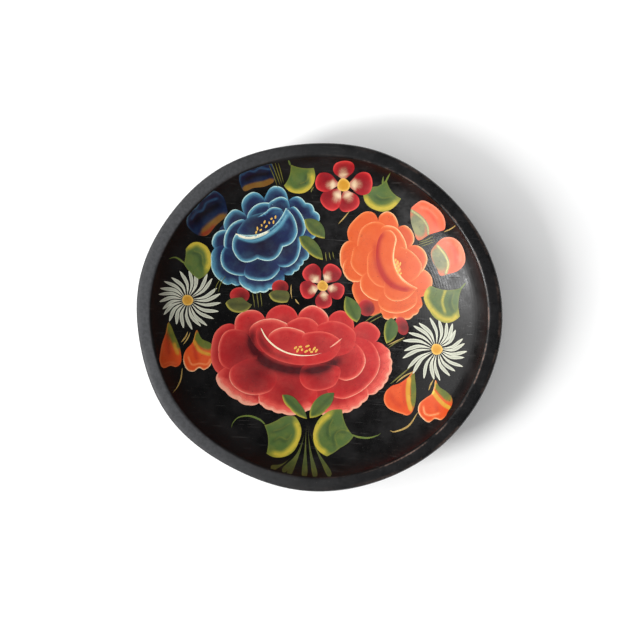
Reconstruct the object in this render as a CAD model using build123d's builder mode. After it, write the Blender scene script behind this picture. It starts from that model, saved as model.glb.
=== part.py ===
from build123d import *
import os
from math import atan2, cos, hypot, radians, sin, sqrt

os.makedirs("parts", exist_ok=True)

# A shallow wooden bowl, turned from one block, lacquered and painted with flowers. It is drawn
# round, as it left the lathe, and then made a little narrower across the grain, as the wood shrank.
# X runs along the grain, Y towards the top of the painting, Z up. All sizes are in millimetres.

# --- the wooden bowl ---
bowl_length = 330.0          # over the rim, along the grain
width_left = 0.952           # share of the width that is left after the wood has shrunk
bowl_height = 68.0
rim_width = 13.0             # flat top of the rim
rim_edge_height = 9.0        # upright outer edge of the rim
rim_outer_round = 4.0
rim_inner_round = 1.5
floor_height = 17.0          # inner floor above the table
wall_width = 16.0            # the inside turns up to the rim over this width
wall_height = 17.1           # and over this height
foot_radius = 72.0
foot_round = 1.2
foot_trim = 0.1              # sanded off the foot once the wood had shrunk, so that it stands flat
recess_radius = 54.0         # the hollow under the foot
recess_depth = 7.0
belly = 3.0                  # how far the outer wall bulges

# --- the paint ---
paint_thickness = 0.3
bare_edge = 2.6              # bare lacquer below the rim's inner edge
painting_turn = 3.7          # degrees, from the grain to the painting's level

# --- the hanger on the back ---
ring_wire = 2.5
ring_inner_width = 16.0
ring_corner = 2.5            # bend from the ring's bar to its sides
ring_side = 1.0
ring_play = 0.15             # between the ring's bar and the strap's barrel
strap_thickness = 1.0
strap_width = 12.0
strap_corner = 3.0
hanger_distance = 24.0       # from the bowl's middle to the ring's bar
screw_shank = 2.6
screw_play = 0.3             # around the shank in the strap's holes
screw_head = 5.6
screw_head_height = 1.6
screw_length = 8.0
screw_point = 2.2
screw_slot = 0.8
head_play = 0.7              # between the ring's tip and the second screw's head

outer_radius = bowl_length / 2
inner_radius = outer_radius - rim_width
hand = inner_radius / 100    # the painter's unit: a hundredth of the inner radius
floor_reach = inner_radius - wall_width
floor_rise = bowl_height - wall_height - floor_height
dish_radius = (floor_reach**2 + floor_rise**2) / (2 * floor_rise)
dish_slope = atan2(floor_reach, dish_radius - floor_rise)
dish_centre = floor_height + dish_radius


def on_dish(slope, lift=0.0):
    """A point (radius, height) of the inner floor's arc, or of the arc this far above it."""
    reach = dish_radius - lift
    return (reach * sin(slope), dish_centre - reach * cos(slope))


# The wall's arc leaves the dish without a kink and ends at the rim's inner edge.
chord = (wall_width, wall_height)
kink = cos(dish_slope) * chord[1] - sin(dish_slope) * chord[0]
wall_radius = (chord[0] ** 2 + chord[1] ** 2) / (2 * kink)
wall_centre = (floor_reach - wall_radius * sin(dish_slope),
               bowl_height - wall_height + wall_radius * cos(dish_slope))


def on_wall(radius, lift=0.0):
    """A point of the turned-up wall at this radius, or of the arc this far inside it."""
    across = (radius - wall_centre[0]) / wall_radius
    reach = wall_radius - lift
    return (wall_centre[0] + reach * across, wall_centre[1] - reach * sqrt(1 - across**2))


# The ring folds flat into the recess: its bar's axis hangs just below the recess's ceiling.
barrel_inner = ring_wire / 2 + ring_play
barrel_outer = barrel_inner + strap_thickness
ring_height = recess_depth - barrel_outer
ring_half = ring_inner_width / 2 + ring_wire / 2
ring_reach = ring_corner + ring_side + ring_half + ring_wire / 2
first_screw = (ring_wire / 2 + ring_reach - ring_wire) / 2
second_screw = ring_reach + head_play + screw_head / 2
strap_length = second_screw + screw_head / 2 + strap_corner
screw_places = [(0, hanger_distance - first_screw), (0, hanger_distance - second_screw)]

# ---------------------------------------------------------------- the bowl
with BuildPart() as bowl:
    with BuildSketch(Plane.XZ):
        with BuildLine():
            dish = ThreePointArc((0, floor_height), on_dish(dish_slope / 2), on_dish(dish_slope))
            wall = ThreePointArc(dish @ 1, on_wall(inner_radius - wall_width / 2),
                                 (inner_radius, bowl_height))
            rim = Line(wall @ 1, (outer_radius, bowl_height))
            edge = Line(rim @ 1, (outer_radius, bowl_height - rim_edge_height))
            back = SagittaArc(edge @ 1, (foot_radius, -foot_trim), belly)
            foot = Line(back @ 1, (recess_radius, -foot_trim))
            step = Line(foot @ 1, (recess_radius, recess_depth))
            ceiling = Line(step @ 1, (0, recess_depth))
            Line(ceiling @ 1, dish @ 0)
        make_face()
    revolve(axis=Axis.Z)
    circles = bowl.edges().filter_by(GeomType.CIRCLE)
    rim_edges = circles.group_by(Axis.Z)[-1].sort_by(SortBy.RADIUS)
    fillet(rim_edges[-1], rim_outer_round)
    fillet(bowl.edges().sort_by_distance((inner_radius, 0, bowl_height))[0], rim_inner_round)
    fillet(bowl.edges().filter_by(GeomType.CIRCLE).group_by(Axis.Z)[0], foot_round)
    scale(by=(1, width_left, 1))
    split(bisect_by=Plane.XY, keep=Keep.TOP)
    # Pilot holes for the hanger's screws, straight up from the recess's ceiling.
    with BuildSketch(Plane.XY.offset(recess_depth)):
        with Locations(*screw_places):
            Circle(screw_shank / 2)
    extrude(amount=screw_length - strap_thickness, mode=Mode.SUBTRACT)

# ---------------------------------------------------------------- the painting, drawn flat
# Every place in the painting is given in hands from the bowl's middle. Drawn flat, a shape is
# cut through the thin skin of paint that covers the inside, which gives it the bowl's curve.


def spot(u, v):
    """A place in the painting as a point of the round bowl, before it shrank."""
    turn = radians(painting_turn)
    along, across = u * cos(turn) - v * sin(turn), u * sin(turn) + v * cos(turn)
    return (hand * along, hand * across / width_left)


def lobed(*corners):
    """A filled outline through (u, v, bulge) corners, clockwise. The side that leaves a corner
    is an arc that bulges outwards by that share of its own length."""
    with BuildLine() as outline:
        for here, there in zip(corners, corners[1:] + corners[:1]):
            run, rise = there[0] - here[0], there[1] - here[1]
            middle = ((here[0] + there[0]) / 2 - here[2] * rise, (here[1] + there[1]) / 2 + here[2] * run)
            if here[2]:
                ThreePointArc(spot(*here[:2]), spot(*middle), spot(*there[:2]))
            else:
                Line(spot(*here[:2]), spot(*there[:2]))
    make_face(outline.edges())


def polar(centre, angle, reach):
    """The place at this angle, in degrees, and distance from a centre."""
    return (centre[0] + reach * cos(radians(angle)), centre[1] + reach * sin(radians(angle)))


def oval(centre, angle, length, width):
    """A petal, berry or disc: a rounded shape with its length along an angle."""
    sides = [(0, length / 2), (-90, width / 2), (-180, length / 2), (-270, width / 2)]
    bulge = 0.207
    lobed(*[(*polar(centre, angle + side, reach), bulge) for side, reach in sides])


def stroke(start, end, width, curve=0.0):
    """One stroke of a loaded brush, pointed at both ends. curve bends it to the left of its run."""
    run, rise = end[0] - start[0], end[1] - start[1]
    share = width / 2 / hypot(run, rise)
    lobed((*start, curve + share), (*end, share - curve))


def blossom(centre, petals, disc):
    """Five round petals about a disc. A petal is its angle, its reach and its width."""
    for angle, reach, width in petals:
        oval(polar(centre, angle, (reach + disc) / 2 - 0.5), angle, reach - disc + 1, width)
    oval(centre, 0, 2 * disc, 2 * disc)


def daisy(centre, strokes, disc, reach, lean):
    """A pinwheel of strokes about a disc. It reaches less far where the wall rises, on its lean side."""
    for number in range(strokes):
        angle = 360 * number / strokes
        tip = polar(centre, angle + 12, reach * (1 - 0.12 * cos(radians(angle - lean))))
        stroke(polar(centre, angle, disc * 0.7), tip, 2.1, -0.10)
    oval(centre, 0, 2 * disc, 2 * disc)


with BuildSketch() as daisy_left_drawn:
    daisy((-79.5, 9.8), 21, 3.3, 17.6, 180)

with BuildSketch() as daisy_right_drawn:
    daisy((71.6, -20.0), 22, 3.4, 18.6, 0)

with BuildSketch() as blossom_top_drawn:
    blossom((14.8, 79.2), [(90, 13.2, 12.4), (2, 17.0, 12.6), (-76, 15.8, 12.4),
                           (-127, 17.0, 12.4), (170, 17.0, 10.6)], 3.9)

with BuildSketch() as blossom_middle_drawn:
    blossom((2.2, 19.0), [(130, 15.5, 11.4), (54, 15.0, 11.4), (-20, 14.0, 10.0),
                          (-86, 14.0, 10.0), (194, 14.2, 11.0)], 3.4)

with BuildSketch() as berries_drawn:
    oval((-48.8, 13.0), 0, 11.8, 9.8)
    oval((-24.1, 18.2), 0, 10.2, 8.8)
    oval((29.3, 5.4), -60, 10.6, 9.6)
    oval((51.0, -5.8), -70, 11.6, 7.4)

with BuildSketch() as small_leaves_drawn:
    lobed((-9.0, 59.4, 0.12), (0.0, 58.2, 0.15), (3.4, 50.0, 0.05), (-4.5, 50.5, 0.12))
    lobed((-12.3, 49.0, 0.15), (-4.5, 48.0, 0.12), (2.2, 37.0, 0.10), (-8.0, 41.0, 0.12))
    lobed((-22.6, -48.2, 0.16), (-12.5, -53.0, 0.08), (-7.4, -62.5, 0.10), (-18.0, -56.2, 0.12))
    lobed((9.2, -47.0, 0.12), (4.5, -57.0, 0.12), (-5.6, -62.0, 0.10), (-3.5, -53.0, 0.14))
    lobed((-55.0, 9.6, 0.12), (-43.2, 9.4, 0.20), (-48.5, 4.0, 0.20))
    lobed((-29.8, 15.8, 0.10), (-18.6, 16.4, 0.20), (-18.0, 9.0, 0.15), (-27.5, 8.4, 0.25))
    lobed((16.6, 12.6, 0.12), (25.8, 5.0, 0.14), (23.4, -3.6, 0.10), (15.6, 4.5, 0.06))
    lobed((44.6, -0.9, 0.18), (48.4, -9.5, 0.14), (41.6, -16.6, 0.08), (40.4, -7.0, 0.15))

with BuildSketch() as broad_leaves_drawn:
    lobed((-17.0, 91.0, -0.06), (-3.2, 89.4, 0.14), (-4.6, 78.4, 0.14), (-13.5, 74.8, 0.14),
          (-21.2, 79.2, -0.10))
    lobed((26.6, 73.4, 0.16), (35.0, 77.8, -0.04), (40.2, 81.5, -0.12), (49.3, 70.8, 0.06),
          (44.6, 65.4, 0.14), (34.0, 64.6, 0.16))
    lobed((-80.0, 40.5, 0.28), (-68.0, 42.4, 0.14), (-66.4, 29.0, 0.10), (-73.0, 22.6, 0.06),
          (-81.2, 31.5, -0.04))
    lobed((64.0, 11.0, 0.14), (68.0, 18.9, -0.12), (86.0, 17.4, -0.08), (84.8, 0.0, 0.10),
          (77.5, -4.0, 0.14), (67.5, 3.5, 0.06))
    lobed((-33.2, -66.2, -0.04), (-23.5, -62.0, 0.10), (-14.6, -61.2, 0.18), (-12.4, -76.0, 0.16),
          (-23.0, -84.6, 0.10), (-31.6, -82.4, -0.10))
    lobed((7.0, -57.6, 0.06), (14.2, -57.0, -0.10), (21.0, -72.5, 0.08), (13.0, -79.0, 0.04),
          (4.8, -83.8, 0.18), (-3.6, -71.5, 0.14))

with BuildSketch() as blue_rose_drawn:
    lobed((-57.0, 56.0, 0.34), (-44.5, 61.0, 0.44), (-33.0, 72.0, 0.48), (-19.0, 71.2, 0.28),
          (-8.2, 69.0, 0.20), (-2.6, 64.6, 0.20), (0.0, 58.0, 0.05), (-7.0, 54.4, 0.12),
          (-2.2, 49.0, 0.05), (-12.0, 48.0, 0.05), (-6.4, 39.4, 0.25), (-9.8, 34.2, 0.20),
          (-15.4, 27.8, 0.30), (-22.4, 29.6, -0.05), (-21.6, 23.6, 0.15), (-30.8, 16.8, 0.12),
          (-43.0, 16.0, 0.20), (-47.6, 21.2, 0.25), (-58.6, 21.4, 0.12), (-65.4, 35.0, 0.10),
          (-62.6, 41.4, 0.40), (-62.4, 49.6, 0.22))

with BuildSketch() as orange_rose_drawn:
    lobed((14.2, 32.0, 0.22), (19.1, 46.6, 0.36), (35.7, 59.6, 0.42), (47.8, 54.8, 0.36),
          (55.4, 42.8, 0.33), (63.8, 28.5, 0.30), (65.4, 15.4, 0.02), (62.8, 11.8, 0.12),
          (61.4, 4.6, 0.12), (55.8, -0.2, 0.12), (41.4, -1.6, 0.25), (38.8, 4.0, -0.10),
          (33.5, 0.6, 0.10), (23.2, 9.8, 0.05), (20.3, 19.6, 0.10), (16.2, 24.8, 0.15))

with BuildSketch() as peony_drawn:
    lobed((-62.0, -34.8, 0.30), (-52.0, -8.2, 0.42), (-33.2, -0.6, 0.33), (-13.2, 0.4, 0.35),
          (5.8, 0.0, 0.34), (22.2, -5.8, 0.45), (34.0, -15.6, 0.22), (43.2, -24.0, 0.12),
          (43.4, -34.0, 0.12), (39.6, -41.6, 0.16), (33.0, -47.8, 0.12), (29.4, -48.8, 0.15),
          (24.0, -55.0, 0.12), (15.0, -58.8, 0.05), (0.0, -59.3, 0.10), (-7.4, -57.8, 0.10),
          (-22.5, -58.8, 0.12), (-35.0, -54.2, 0.10), (-36.4, -51.0, 0.12), (-43.5, -53.4, 0.12),
          (-56.0, -46.2, 0.15))

with BuildSketch() as buds_left_drawn:
    lobed((-90.6, -3.8, 0.08), (-86.0, -14.0, 0.08), (-84.2, -28.0, 0.30), (-89.0, -29.6, 0.10),
          (-94.5, -29.6, 0.20), (-95.6, -16.0, -0.08))
    lobed((-75.8, -8.6, -0.14), (-66.6, -16.4, 0.06), (-66.4, -29.4, 0.30), (-73.4, -33.2, 0.25),
          (-82.0, -30.8, 0.22), (-79.0, -15.6, -0.05))

with BuildSketch() as buds_lower_right_drawn:
    lobed((57.2, -34.6, 0.08), (59.2, -48.0, 0.12), (57.4, -57.6, 0.20), (45.0, -58.2, 0.25),
          (41.0, -47.0, 0.16))
    lobed((69.6, -40.2, -0.06), (78.6, -46.8, 0.10), (78.4, -55.0, 0.22), (68.0, -63.4, 0.30),
          (60.2, -55.6, 0.16), (67.6, -46.8, -0.06))

with BuildSketch() as buds_upper_right_drawn:
    lobed((61.4, 69.2, 0.10), (73.6, 61.0, 0.18), (74.2, 51.0, 0.14), (60.8, 45.6, 0.12),
          (55.8, 63.6, 0.04))
    lobed((80.2, 47.6, 0.20), (87.6, 35.0, 0.22), (81.0, 26.8, 0.05), (73.2, 25.4, 0.10),
          (68.4, 36.6, 0.20), (73.8, 45.4, 0.12))

with BuildSketch() as blue_buds_drawn:
    lobed((-45.4, 77.0, 0.24), (-33.0, 90.6, 0.22), (-27.6, 80.6, 0.10), (-37.5, 78.8, 0.04))
    lobed((-77.2, 51.0, 0.16), (-68.0, 69.6, 0.18), (-57.0, 71.2, 0.10), (-56.6, 61.8, 0.10),
          (-70.2, 50.2, 0.05))

with BuildSketch() as stems_drawn:
    stroke((-7.6, -62.5), (-8.6, -95.0), 3.4)
    stroke((-7.2, -63.0), (-2.0, -95.0), 3.2, 0.05)
    stroke((-7.0, -68.0), (6.8, -94.4), 2.6, 0.12)
    stroke((-8.0, -70.0), (-18.2, -93.8), 2.6, -0.10)
    stroke((-8.2, -70.0), (-21.6, -92.2), 2.4, -0.16)
    stroke((-16.0, -84.0), (-28.8, -90.4), 2.6, -0.06)

# ---------------------------------------------------------------- the paint itself
with BuildPart() as skin:
    with BuildSketch(Plane.XZ):
        paint_edge = inner_radius - bare_edge
        wall_middle = (floor_reach + paint_edge) / 2
        with BuildLine():
            under_floor = ThreePointArc((0, floor_height), on_dish(dish_slope / 2), on_dish(dish_slope))
            under_wall = ThreePointArc(under_floor @ 1, on_wall(wall_middle), on_wall(paint_edge))
            end = Line(under_wall @ 1, on_wall(paint_edge, paint_thickness))
            top_wall = ThreePointArc(end @ 1, on_wall(wall_middle, paint_thickness),
                                     on_dish(dish_slope, paint_thickness))
            top_floor = ThreePointArc(top_wall @ 1, on_dish(dish_slope / 2, paint_thickness),
                                      (0, floor_height + paint_thickness))
            Line(top_floor @ 1, under_floor @ 0)
        make_face()
    revolve(axis=Axis.Z)


def lay_paint(drawn, *painted_over):
    """Lays a drawn motif on the wood, leaving out what later motifs cover, and shrinks it with it."""
    with BuildSketch(Plane.XY) as left_bare:
        add(drawn.sketch)
        for cover in painted_over:
            add(cover.sketch, mode=Mode.SUBTRACT)
    extrude(left_bare.sketch, amount=bowl_height)
    add(skin.part, mode=Mode.INTERSECT)
    scale(by=(1, width_left, 1))


with BuildPart() as daisy_left:
    lay_paint(daisy_left_drawn)

with BuildPart() as daisy_right:
    lay_paint(daisy_right_drawn)

with BuildPart() as red_blossom_top:
    lay_paint(blossom_top_drawn)

with BuildPart() as red_blossom_middle:
    lay_paint(blossom_middle_drawn)

with BuildPart() as red_berries:
    lay_paint(berries_drawn, daisy_right_drawn)

with BuildPart() as blue_rose:
    lay_paint(blue_rose_drawn, berries_drawn)

with BuildPart() as small_leaves:
    lay_paint(small_leaves_drawn, berries_drawn, blue_rose_drawn)

with BuildPart() as broad_leaves:
    lay_paint(broad_leaves_drawn, daisy_left_drawn, daisy_right_drawn, blossom_top_drawn,
              blue_rose_drawn)

with BuildPart() as red_peony:
    lay_paint(peony_drawn, blossom_middle_drawn, small_leaves_drawn, broad_leaves_drawn)

with BuildPart() as orange_rose:
    lay_paint(orange_rose_drawn, berries_drawn, small_leaves_drawn, broad_leaves_drawn)

with BuildPart() as orange_buds_left:
    lay_paint(buds_left_drawn, daisy_left_drawn, peony_drawn)

with BuildPart() as orange_buds_lower_right:
    lay_paint(buds_lower_right_drawn, daisy_right_drawn)

with BuildPart() as orange_buds_upper_right:
    lay_paint(buds_upper_right_drawn, orange_rose_drawn)

with BuildPart() as blue_buds:
    lay_paint(blue_buds_drawn)

with BuildPart() as stem_spray:
    lay_paint(stems_drawn, small_leaves_drawn, broad_leaves_drawn)

# ---------------------------------------------------------------- the hanger on the back
with BuildPart() as hanger_strap:
    with BuildSketch(Plane.YZ):
        with Locations((hanger_distance, ring_height)):
            Circle(barrel_outer)
        with Locations((hanger_distance, recess_depth)):
            Rectangle(strap_length, strap_thickness, align=(Align.MAX, Align.MAX))
        with Locations((hanger_distance, ring_height)):
            Circle(barrel_inner, mode=Mode.SUBTRACT)
    extrude(amount=strap_width / 2, both=True)
    corners = hanger_strap.edges().filter_by(Axis.Z).group_by(Axis.Y)[0]
    fillet(corners, strap_corner)
    with BuildSketch(Plane.XY.offset(recess_depth)):
        with Locations(*screw_places):
            Circle(screw_shank / 2 + screw_play)
    extrude(amount=-strap_thickness, mode=Mode.SUBTRACT)

with BuildPart() as hanger_ring:
    with BuildLine(Plane.XY.offset(ring_height)) as ring_path:
        bar_end = ring_half - ring_corner
        side_top = hanger_distance + ring_corner + ring_side
        bar = Line((-bar_end, hanger_distance), (bar_end, hanger_distance))
        right_bend = JernArc(bar @ 1, (1, 0), ring_corner, 90)
        right_side = Line(right_bend @ 1, (ring_half, side_top))
        loop = ThreePointArc(right_side @ 1, (0, side_top + ring_half), (-ring_half, side_top))
        left_side = Line(loop @ 1, (-ring_half, hanger_distance + ring_corner))
        JernArc(left_side @ 1, (0, -1), ring_corner, 90)
    with BuildSketch(Plane.YZ.shift_origin((0, hanger_distance, ring_height))):
        Circle(ring_wire / 2)
    sweep(path=ring_path.wires()[0])

seat = recess_depth - strap_thickness
with BuildPart() as one_screw:
    with BuildSketch(Plane.XZ):
        with BuildLine():
            Polyline((0, seat - screw_head_height), (screw_head / 2 - 0.5, seat - screw_head_height),
                     (screw_head / 2, seat - screw_head_height + 0.6), (screw_head / 2, seat),
                     (screw_shank / 2, seat), (screw_shank / 2, seat + screw_length - screw_point),
                     (0, seat + screw_length), close=True)
        make_face()
    revolve(axis=Axis.Z)
    with BuildSketch(Plane.XY.offset(seat - screw_head_height)):
        Rectangle(screw_slot, screw_head * 0.6)
        Rectangle(screw_head * 0.6, screw_slot)
    extrude(amount=screw_head_height * 0.6, mode=Mode.SUBTRACT)

with BuildPart() as hanger_screws:
    with Locations(*screw_places):
        add(one_screw.part)

pieces = {
    "bowl": bowl, "red_peony": red_peony, "blue_rose": blue_rose, "orange_rose": orange_rose,
    "red_blossom_top": red_blossom_top, "red_blossom_middle": red_blossom_middle,
    "daisy_left": daisy_left, "daisy_right": daisy_right, "orange_buds_left": orange_buds_left,
    "orange_buds_lower_right": orange_buds_lower_right,
    "orange_buds_upper_right": orange_buds_upper_right, "blue_buds": blue_buds,
    "red_berries": red_berries, "broad_leaves": broad_leaves, "small_leaves": small_leaves,
    "stem_spray": stem_spray, "hanger_strap": hanger_strap, "hanger_ring": hanger_ring,
    "hanger_screws": hanger_screws,
}
for name, piece in pieces.items():
    piece.part.label = name
    export_step(piece.part, f"parts/{name}.step")
    box = piece.part.bounding_box()
    print(f"{name:24} {len(piece.part.solids())} solids, {piece.part.volume / 1000:9.3f} cm3, "
          f"z {box.min.Z:.1f} to {box.max.Z:.1f}")
print(f"inner floor radius {dish_radius:.1f}, wall radius {wall_radius:.2f}")
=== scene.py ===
# %% [markdown]
# # A painted wooden bowl
# The object is a shallow bowl, turned from one block of wood, lacquered black and painted by hand
# with flowers in oil colour. This lesson builds how it looks. The CAD model of the same bowl is
# loaded first as a fixed frame, and every piece made here is placed by the frame's own sizes.

# %% Load the frame
from math import atan2, cos, hypot, pi, radians, sin, sqrt

import bmesh
import bpy
import numpy as np
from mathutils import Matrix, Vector, geometry


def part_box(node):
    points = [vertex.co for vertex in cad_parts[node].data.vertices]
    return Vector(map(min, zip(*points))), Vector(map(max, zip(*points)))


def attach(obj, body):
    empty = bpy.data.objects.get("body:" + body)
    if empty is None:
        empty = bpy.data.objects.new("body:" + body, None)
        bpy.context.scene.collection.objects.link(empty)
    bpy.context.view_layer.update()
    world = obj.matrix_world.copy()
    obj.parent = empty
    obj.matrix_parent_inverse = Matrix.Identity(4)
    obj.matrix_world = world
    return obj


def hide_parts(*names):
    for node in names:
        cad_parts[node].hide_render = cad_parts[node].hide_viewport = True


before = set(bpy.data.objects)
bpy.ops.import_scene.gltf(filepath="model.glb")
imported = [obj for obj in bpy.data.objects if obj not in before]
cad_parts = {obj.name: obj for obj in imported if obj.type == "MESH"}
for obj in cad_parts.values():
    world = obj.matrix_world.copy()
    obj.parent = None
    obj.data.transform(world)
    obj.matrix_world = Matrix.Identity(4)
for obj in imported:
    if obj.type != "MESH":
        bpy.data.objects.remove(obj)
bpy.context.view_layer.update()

# %% [markdown]
# ## The bowl's own sizes
# The lathe gave the bowl one profile all the way round, so a handful of sizes describes it. Its
# length and height are read from the frame. The others say how the profile runs: an inner floor
# like a shallow dish, a short arc that turns up into the wall, and a flat rim.

# %% Sizes
mm = 0.001
bowl_low, bowl_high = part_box("bowl")
long_radius = (bowl_high.x - bowl_low.x) / 2
width_left = (bowl_high.y - bowl_low.y) / (bowl_high.x - bowl_low.x)
rim_height = bowl_high.z
rim_width = 13 * mm
inner_radius = long_radius - rim_width
floor_height = 17 * mm
wall_width = 16 * mm
wall_height = 17.1 * mm
foot_radius = 72 * mm
recess_radius = 54 * mm
recess_depth = 7 * mm
hand = inner_radius / 100      # the painter's unit, a hundredth of the inner radius

floor_reach = inner_radius - wall_width
floor_rise = rim_height - wall_height - floor_height
dish_radius = (floor_reach**2 + floor_rise**2) / (2 * floor_rise)
dish_slope = atan2(floor_reach, dish_radius - floor_rise)
dish_centre = floor_height + dish_radius
chord_lean = cos(dish_slope) * wall_height - sin(dish_slope) * wall_width
wall_radius = (wall_width**2 + wall_height**2) / (2 * chord_lean)
wall_centre_r = floor_reach - wall_radius * sin(dish_slope)
wall_centre_z = rim_height - wall_height + wall_radius * cos(dish_slope)
print(f"dish radius {dish_radius / mm:.1f} mm, wall radius {wall_radius / mm:.1f} mm, "
      f"width across the grain {width_left:.3f} of the length")

# %% [markdown]
# ## The inside as a surface
# Paint lies on the wood, so every brush mark needs the height and the slope of the wood under it.
# One could shoot rays at the bowl's mesh, but its facets would show in the gloss. The profile is two
# arcs, so a formula gives the exact height, and its slope gives the direction out of the wood.
# No bowl finished by hand is quite round: a few slow waves move the wall in and out by a millimetre.

# %% Height, slope and the hand-finished wall
CARVING = ((3, 0.25, 20), (5, 0.45, 95), (7, 0.5, 330), (8, 0.3, 150))   # waves, mm, degrees
PAINT_CLEARANCE = 1.2 * mm     # no paint comes nearer than this to the rim's inner edge


def carve(x, y):
    """Moves plan positions as the hand-finished wall does: nothing on the floor, most at the rim."""
    round_radius = np.hypot(x, y / width_left)
    around = np.arctan2(y / width_left, x)
    wave = sum(depth * mm * np.sin(count * around + radians(phase)) for count, depth, phase in CARVING)
    ramp = np.clip((round_radius - 0.6 * inner_radius) / (0.4 * inner_radius), 0, 1)
    grow = 1 + wave * ramp**2 * (3 - 2 * ramp) / inner_radius
    return x * grow, y * grow


def on_wood(x, y, lift):
    """Points at this height above the inner surface, measured square to it."""
    round_radius = np.hypot(x, y / width_left)
    limit = inner_radius - PAINT_CLEARANCE
    pull = np.where(round_radius > limit, limit / np.maximum(round_radius, limit), 1.0)
    x, y, round_radius = x * pull, y * pull, np.minimum(round_radius, limit)
    on_floor = round_radius <= floor_reach
    across = np.where(on_floor, round_radius, round_radius - wall_centre_r)
    arc = np.where(on_floor, dish_radius, wall_radius)
    drop = np.sqrt(arc**2 - across**2)
    height = np.where(on_floor, dish_centre, wall_centre_z) - drop
    slope = across / drop
    away = np.maximum(round_radius, 1e-9)
    normal = np.stack([-slope * x / away, -slope * y / width_left**2 / away, np.ones_like(x)], axis=-1)
    normal /= np.linalg.norm(normal, axis=-1, keepdims=True)
    x, y = carve(x, y)
    return np.stack([x, y, height], axis=-1) + normal * np.asarray(lift)[..., None]


print("height at the wall's foot:", np.round(on_wood(np.array([floor_reach]), np.array([0.0]), 0.0), 4))

# %% [markdown]
# ## The painter's plane
# The painter thought of the picture flat, so the flowers are drawn flat too, in hands, with the
# bowl's middle as origin. The picture sits a few degrees off the wood's grain.

# %% From the painting to the bowl
PAINTING_TURN = radians(3.7)   # between the wood's grain and the painting's level


def to_bowl(places):
    """Places in hands as plan positions on the bowl, in metres."""
    places = np.asarray(places, float)
    u, v = places[..., 0], places[..., 1]
    return (hand * (u * cos(PAINTING_TURN) - v * sin(PAINTING_TURN)),
            hand * (u * sin(PAINTING_TURN) + v * cos(PAINTING_TURN)))


# %% [markdown]
# ## Outlines
# A petal's edge is a row of scallops, and a bud's or a leaf's edge is one smooth line. Both are drawn
# through a few chosen corners. A corner with a third number is the start of an arc that bulges by
# that share of its length, and corners without one are joined by one smooth closed curve.

# %% Outline helpers
STEP = 0.55                    # hands between the points of an outline


def scalloped(corners):
    """Arcs from corner to corner, clockwise, each bulging outwards by its share."""
    line = []
    for here, there in zip(corners, corners[1:] + corners[:1]):
        start, end = np.array(here[:2], float), np.array(there[:2], float)
        run = end - start
        length = hypot(*run)
        outward = np.array([-run[1], run[0]]) / length
        count = max(2, int(length * (1 + 2 * abs(here[2])) / STEP))
        share = np.linspace(0, 1, count, endpoint=False)[:, None]
        line.append(start + run * share + outward * (4 * here[2] * length * share * (1 - share)))
    return np.concatenate(line)


def smooth(corners):
    """One closed curve through all the corners."""
    points = np.array(corners, float)
    line = []
    for number in range(len(points)):
        before, here, there, after = (points[(number + shift) % len(points)] for shift in (-1, 0, 1, 2))
        count = max(2, int(hypot(*(there - here)) / STEP))
        share = np.linspace(0, 1, count, endpoint=False)[:, None]
        line.append(0.5 * (2 * here + (there - before) * share
                           + (2 * before - 5 * here + 4 * there - after) * share**2
                           + (3 * here - before - 3 * there + after) * share**3))
    return np.concatenate(line)


def open_curve(corners, count=40):
    """A smooth open line through corners, as evenly spread points."""
    points = np.array(corners, float)
    if len(points) == 2:
        return points[0] + (points[1] - points[0]) * np.linspace(0, 1, count)[:, None]
    ends = [2 * points[0] - points[1], *points, 2 * points[-1] - points[-2]]
    line = []
    for before, here, there, after in zip(ends, ends[1:], ends[2:], ends[3:]):
        share = np.linspace(0, 1, 24, endpoint=False)[:, None]
        line.append(0.5 * (2 * here + (there - before) * share
                           + (2 * before - 5 * here + 4 * there - after) * share**2
                           + (3 * here - before - 3 * there + after) * share**3))
    line = np.concatenate(line + [points[-1:]])
    walked = np.concatenate([[0], np.cumsum(np.hypot(*np.diff(line, axis=0).T))])
    spread = np.linspace(0, walked[-1], count)
    return np.stack([np.interp(spread, walked, line[:, axis]) for axis in (0, 1)], axis=-1)


def brush_mark(corners, width, swell=0.5, blunt=0.8):
    """The outline of one pull of a round brush: pointed, widest at swell of its way, pointed again.
    A lower blunt makes the ends rounder."""
    length = hypot(*(np.array(corners[-1], float) - np.array(corners[0], float)))
    line = open_curve(corners, max(12, int(length / STEP)))
    way = np.linspace(0, 1, len(line))
    belly = np.sin(pi * way ** (np.log(0.5) / np.log(swell))) ** blunt
    run = np.gradient(line, axis=0)
    side = np.stack([-run[:, 1], run[:, 0]], axis=-1) / np.hypot(*run.T)[:, None]
    half = (width / 2 * belly)[:, None] * side
    return np.concatenate([(line + half)[:-1], (line - half)[::-1][:-1]])


# %% [markdown]
# ## Laying paint
# Each petal is a thin closed sheet of paint on the wood, with a little thickness of its own, so that
# later petals lie over earlier ones as they do on the bowl. Its inside is filled with even triangles.
# A painter shades with a brush loaded with two colours: the light one runs along the petal's edge,
# and the deep one gathers in its throat. So every point keeps how much light and how much deep paint
# it holds, and how much of two more pigments, and the finish turns these four numbers into colour
# later. A UV map follows the brush: along the edge one way and away from it the other.

# %% Paint layers
FIRST_LIFT = 0.05 * mm         # how far the first sheet stands off the lacquer
LAYER = 0.014 * mm             # and each sheet off the one below it
RIDGE = 0.03 * mm              # how much thicker the light edge is
BLEND = 1.4                    # how far the light colour is blended inwards, in edge widths
UNDER = 0.30 * mm              # a sheet's underside is this deep in the lacquer
UNDERSIDE_GRAIN = 3.2          # hands between the underside's points, which are never seen


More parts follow.
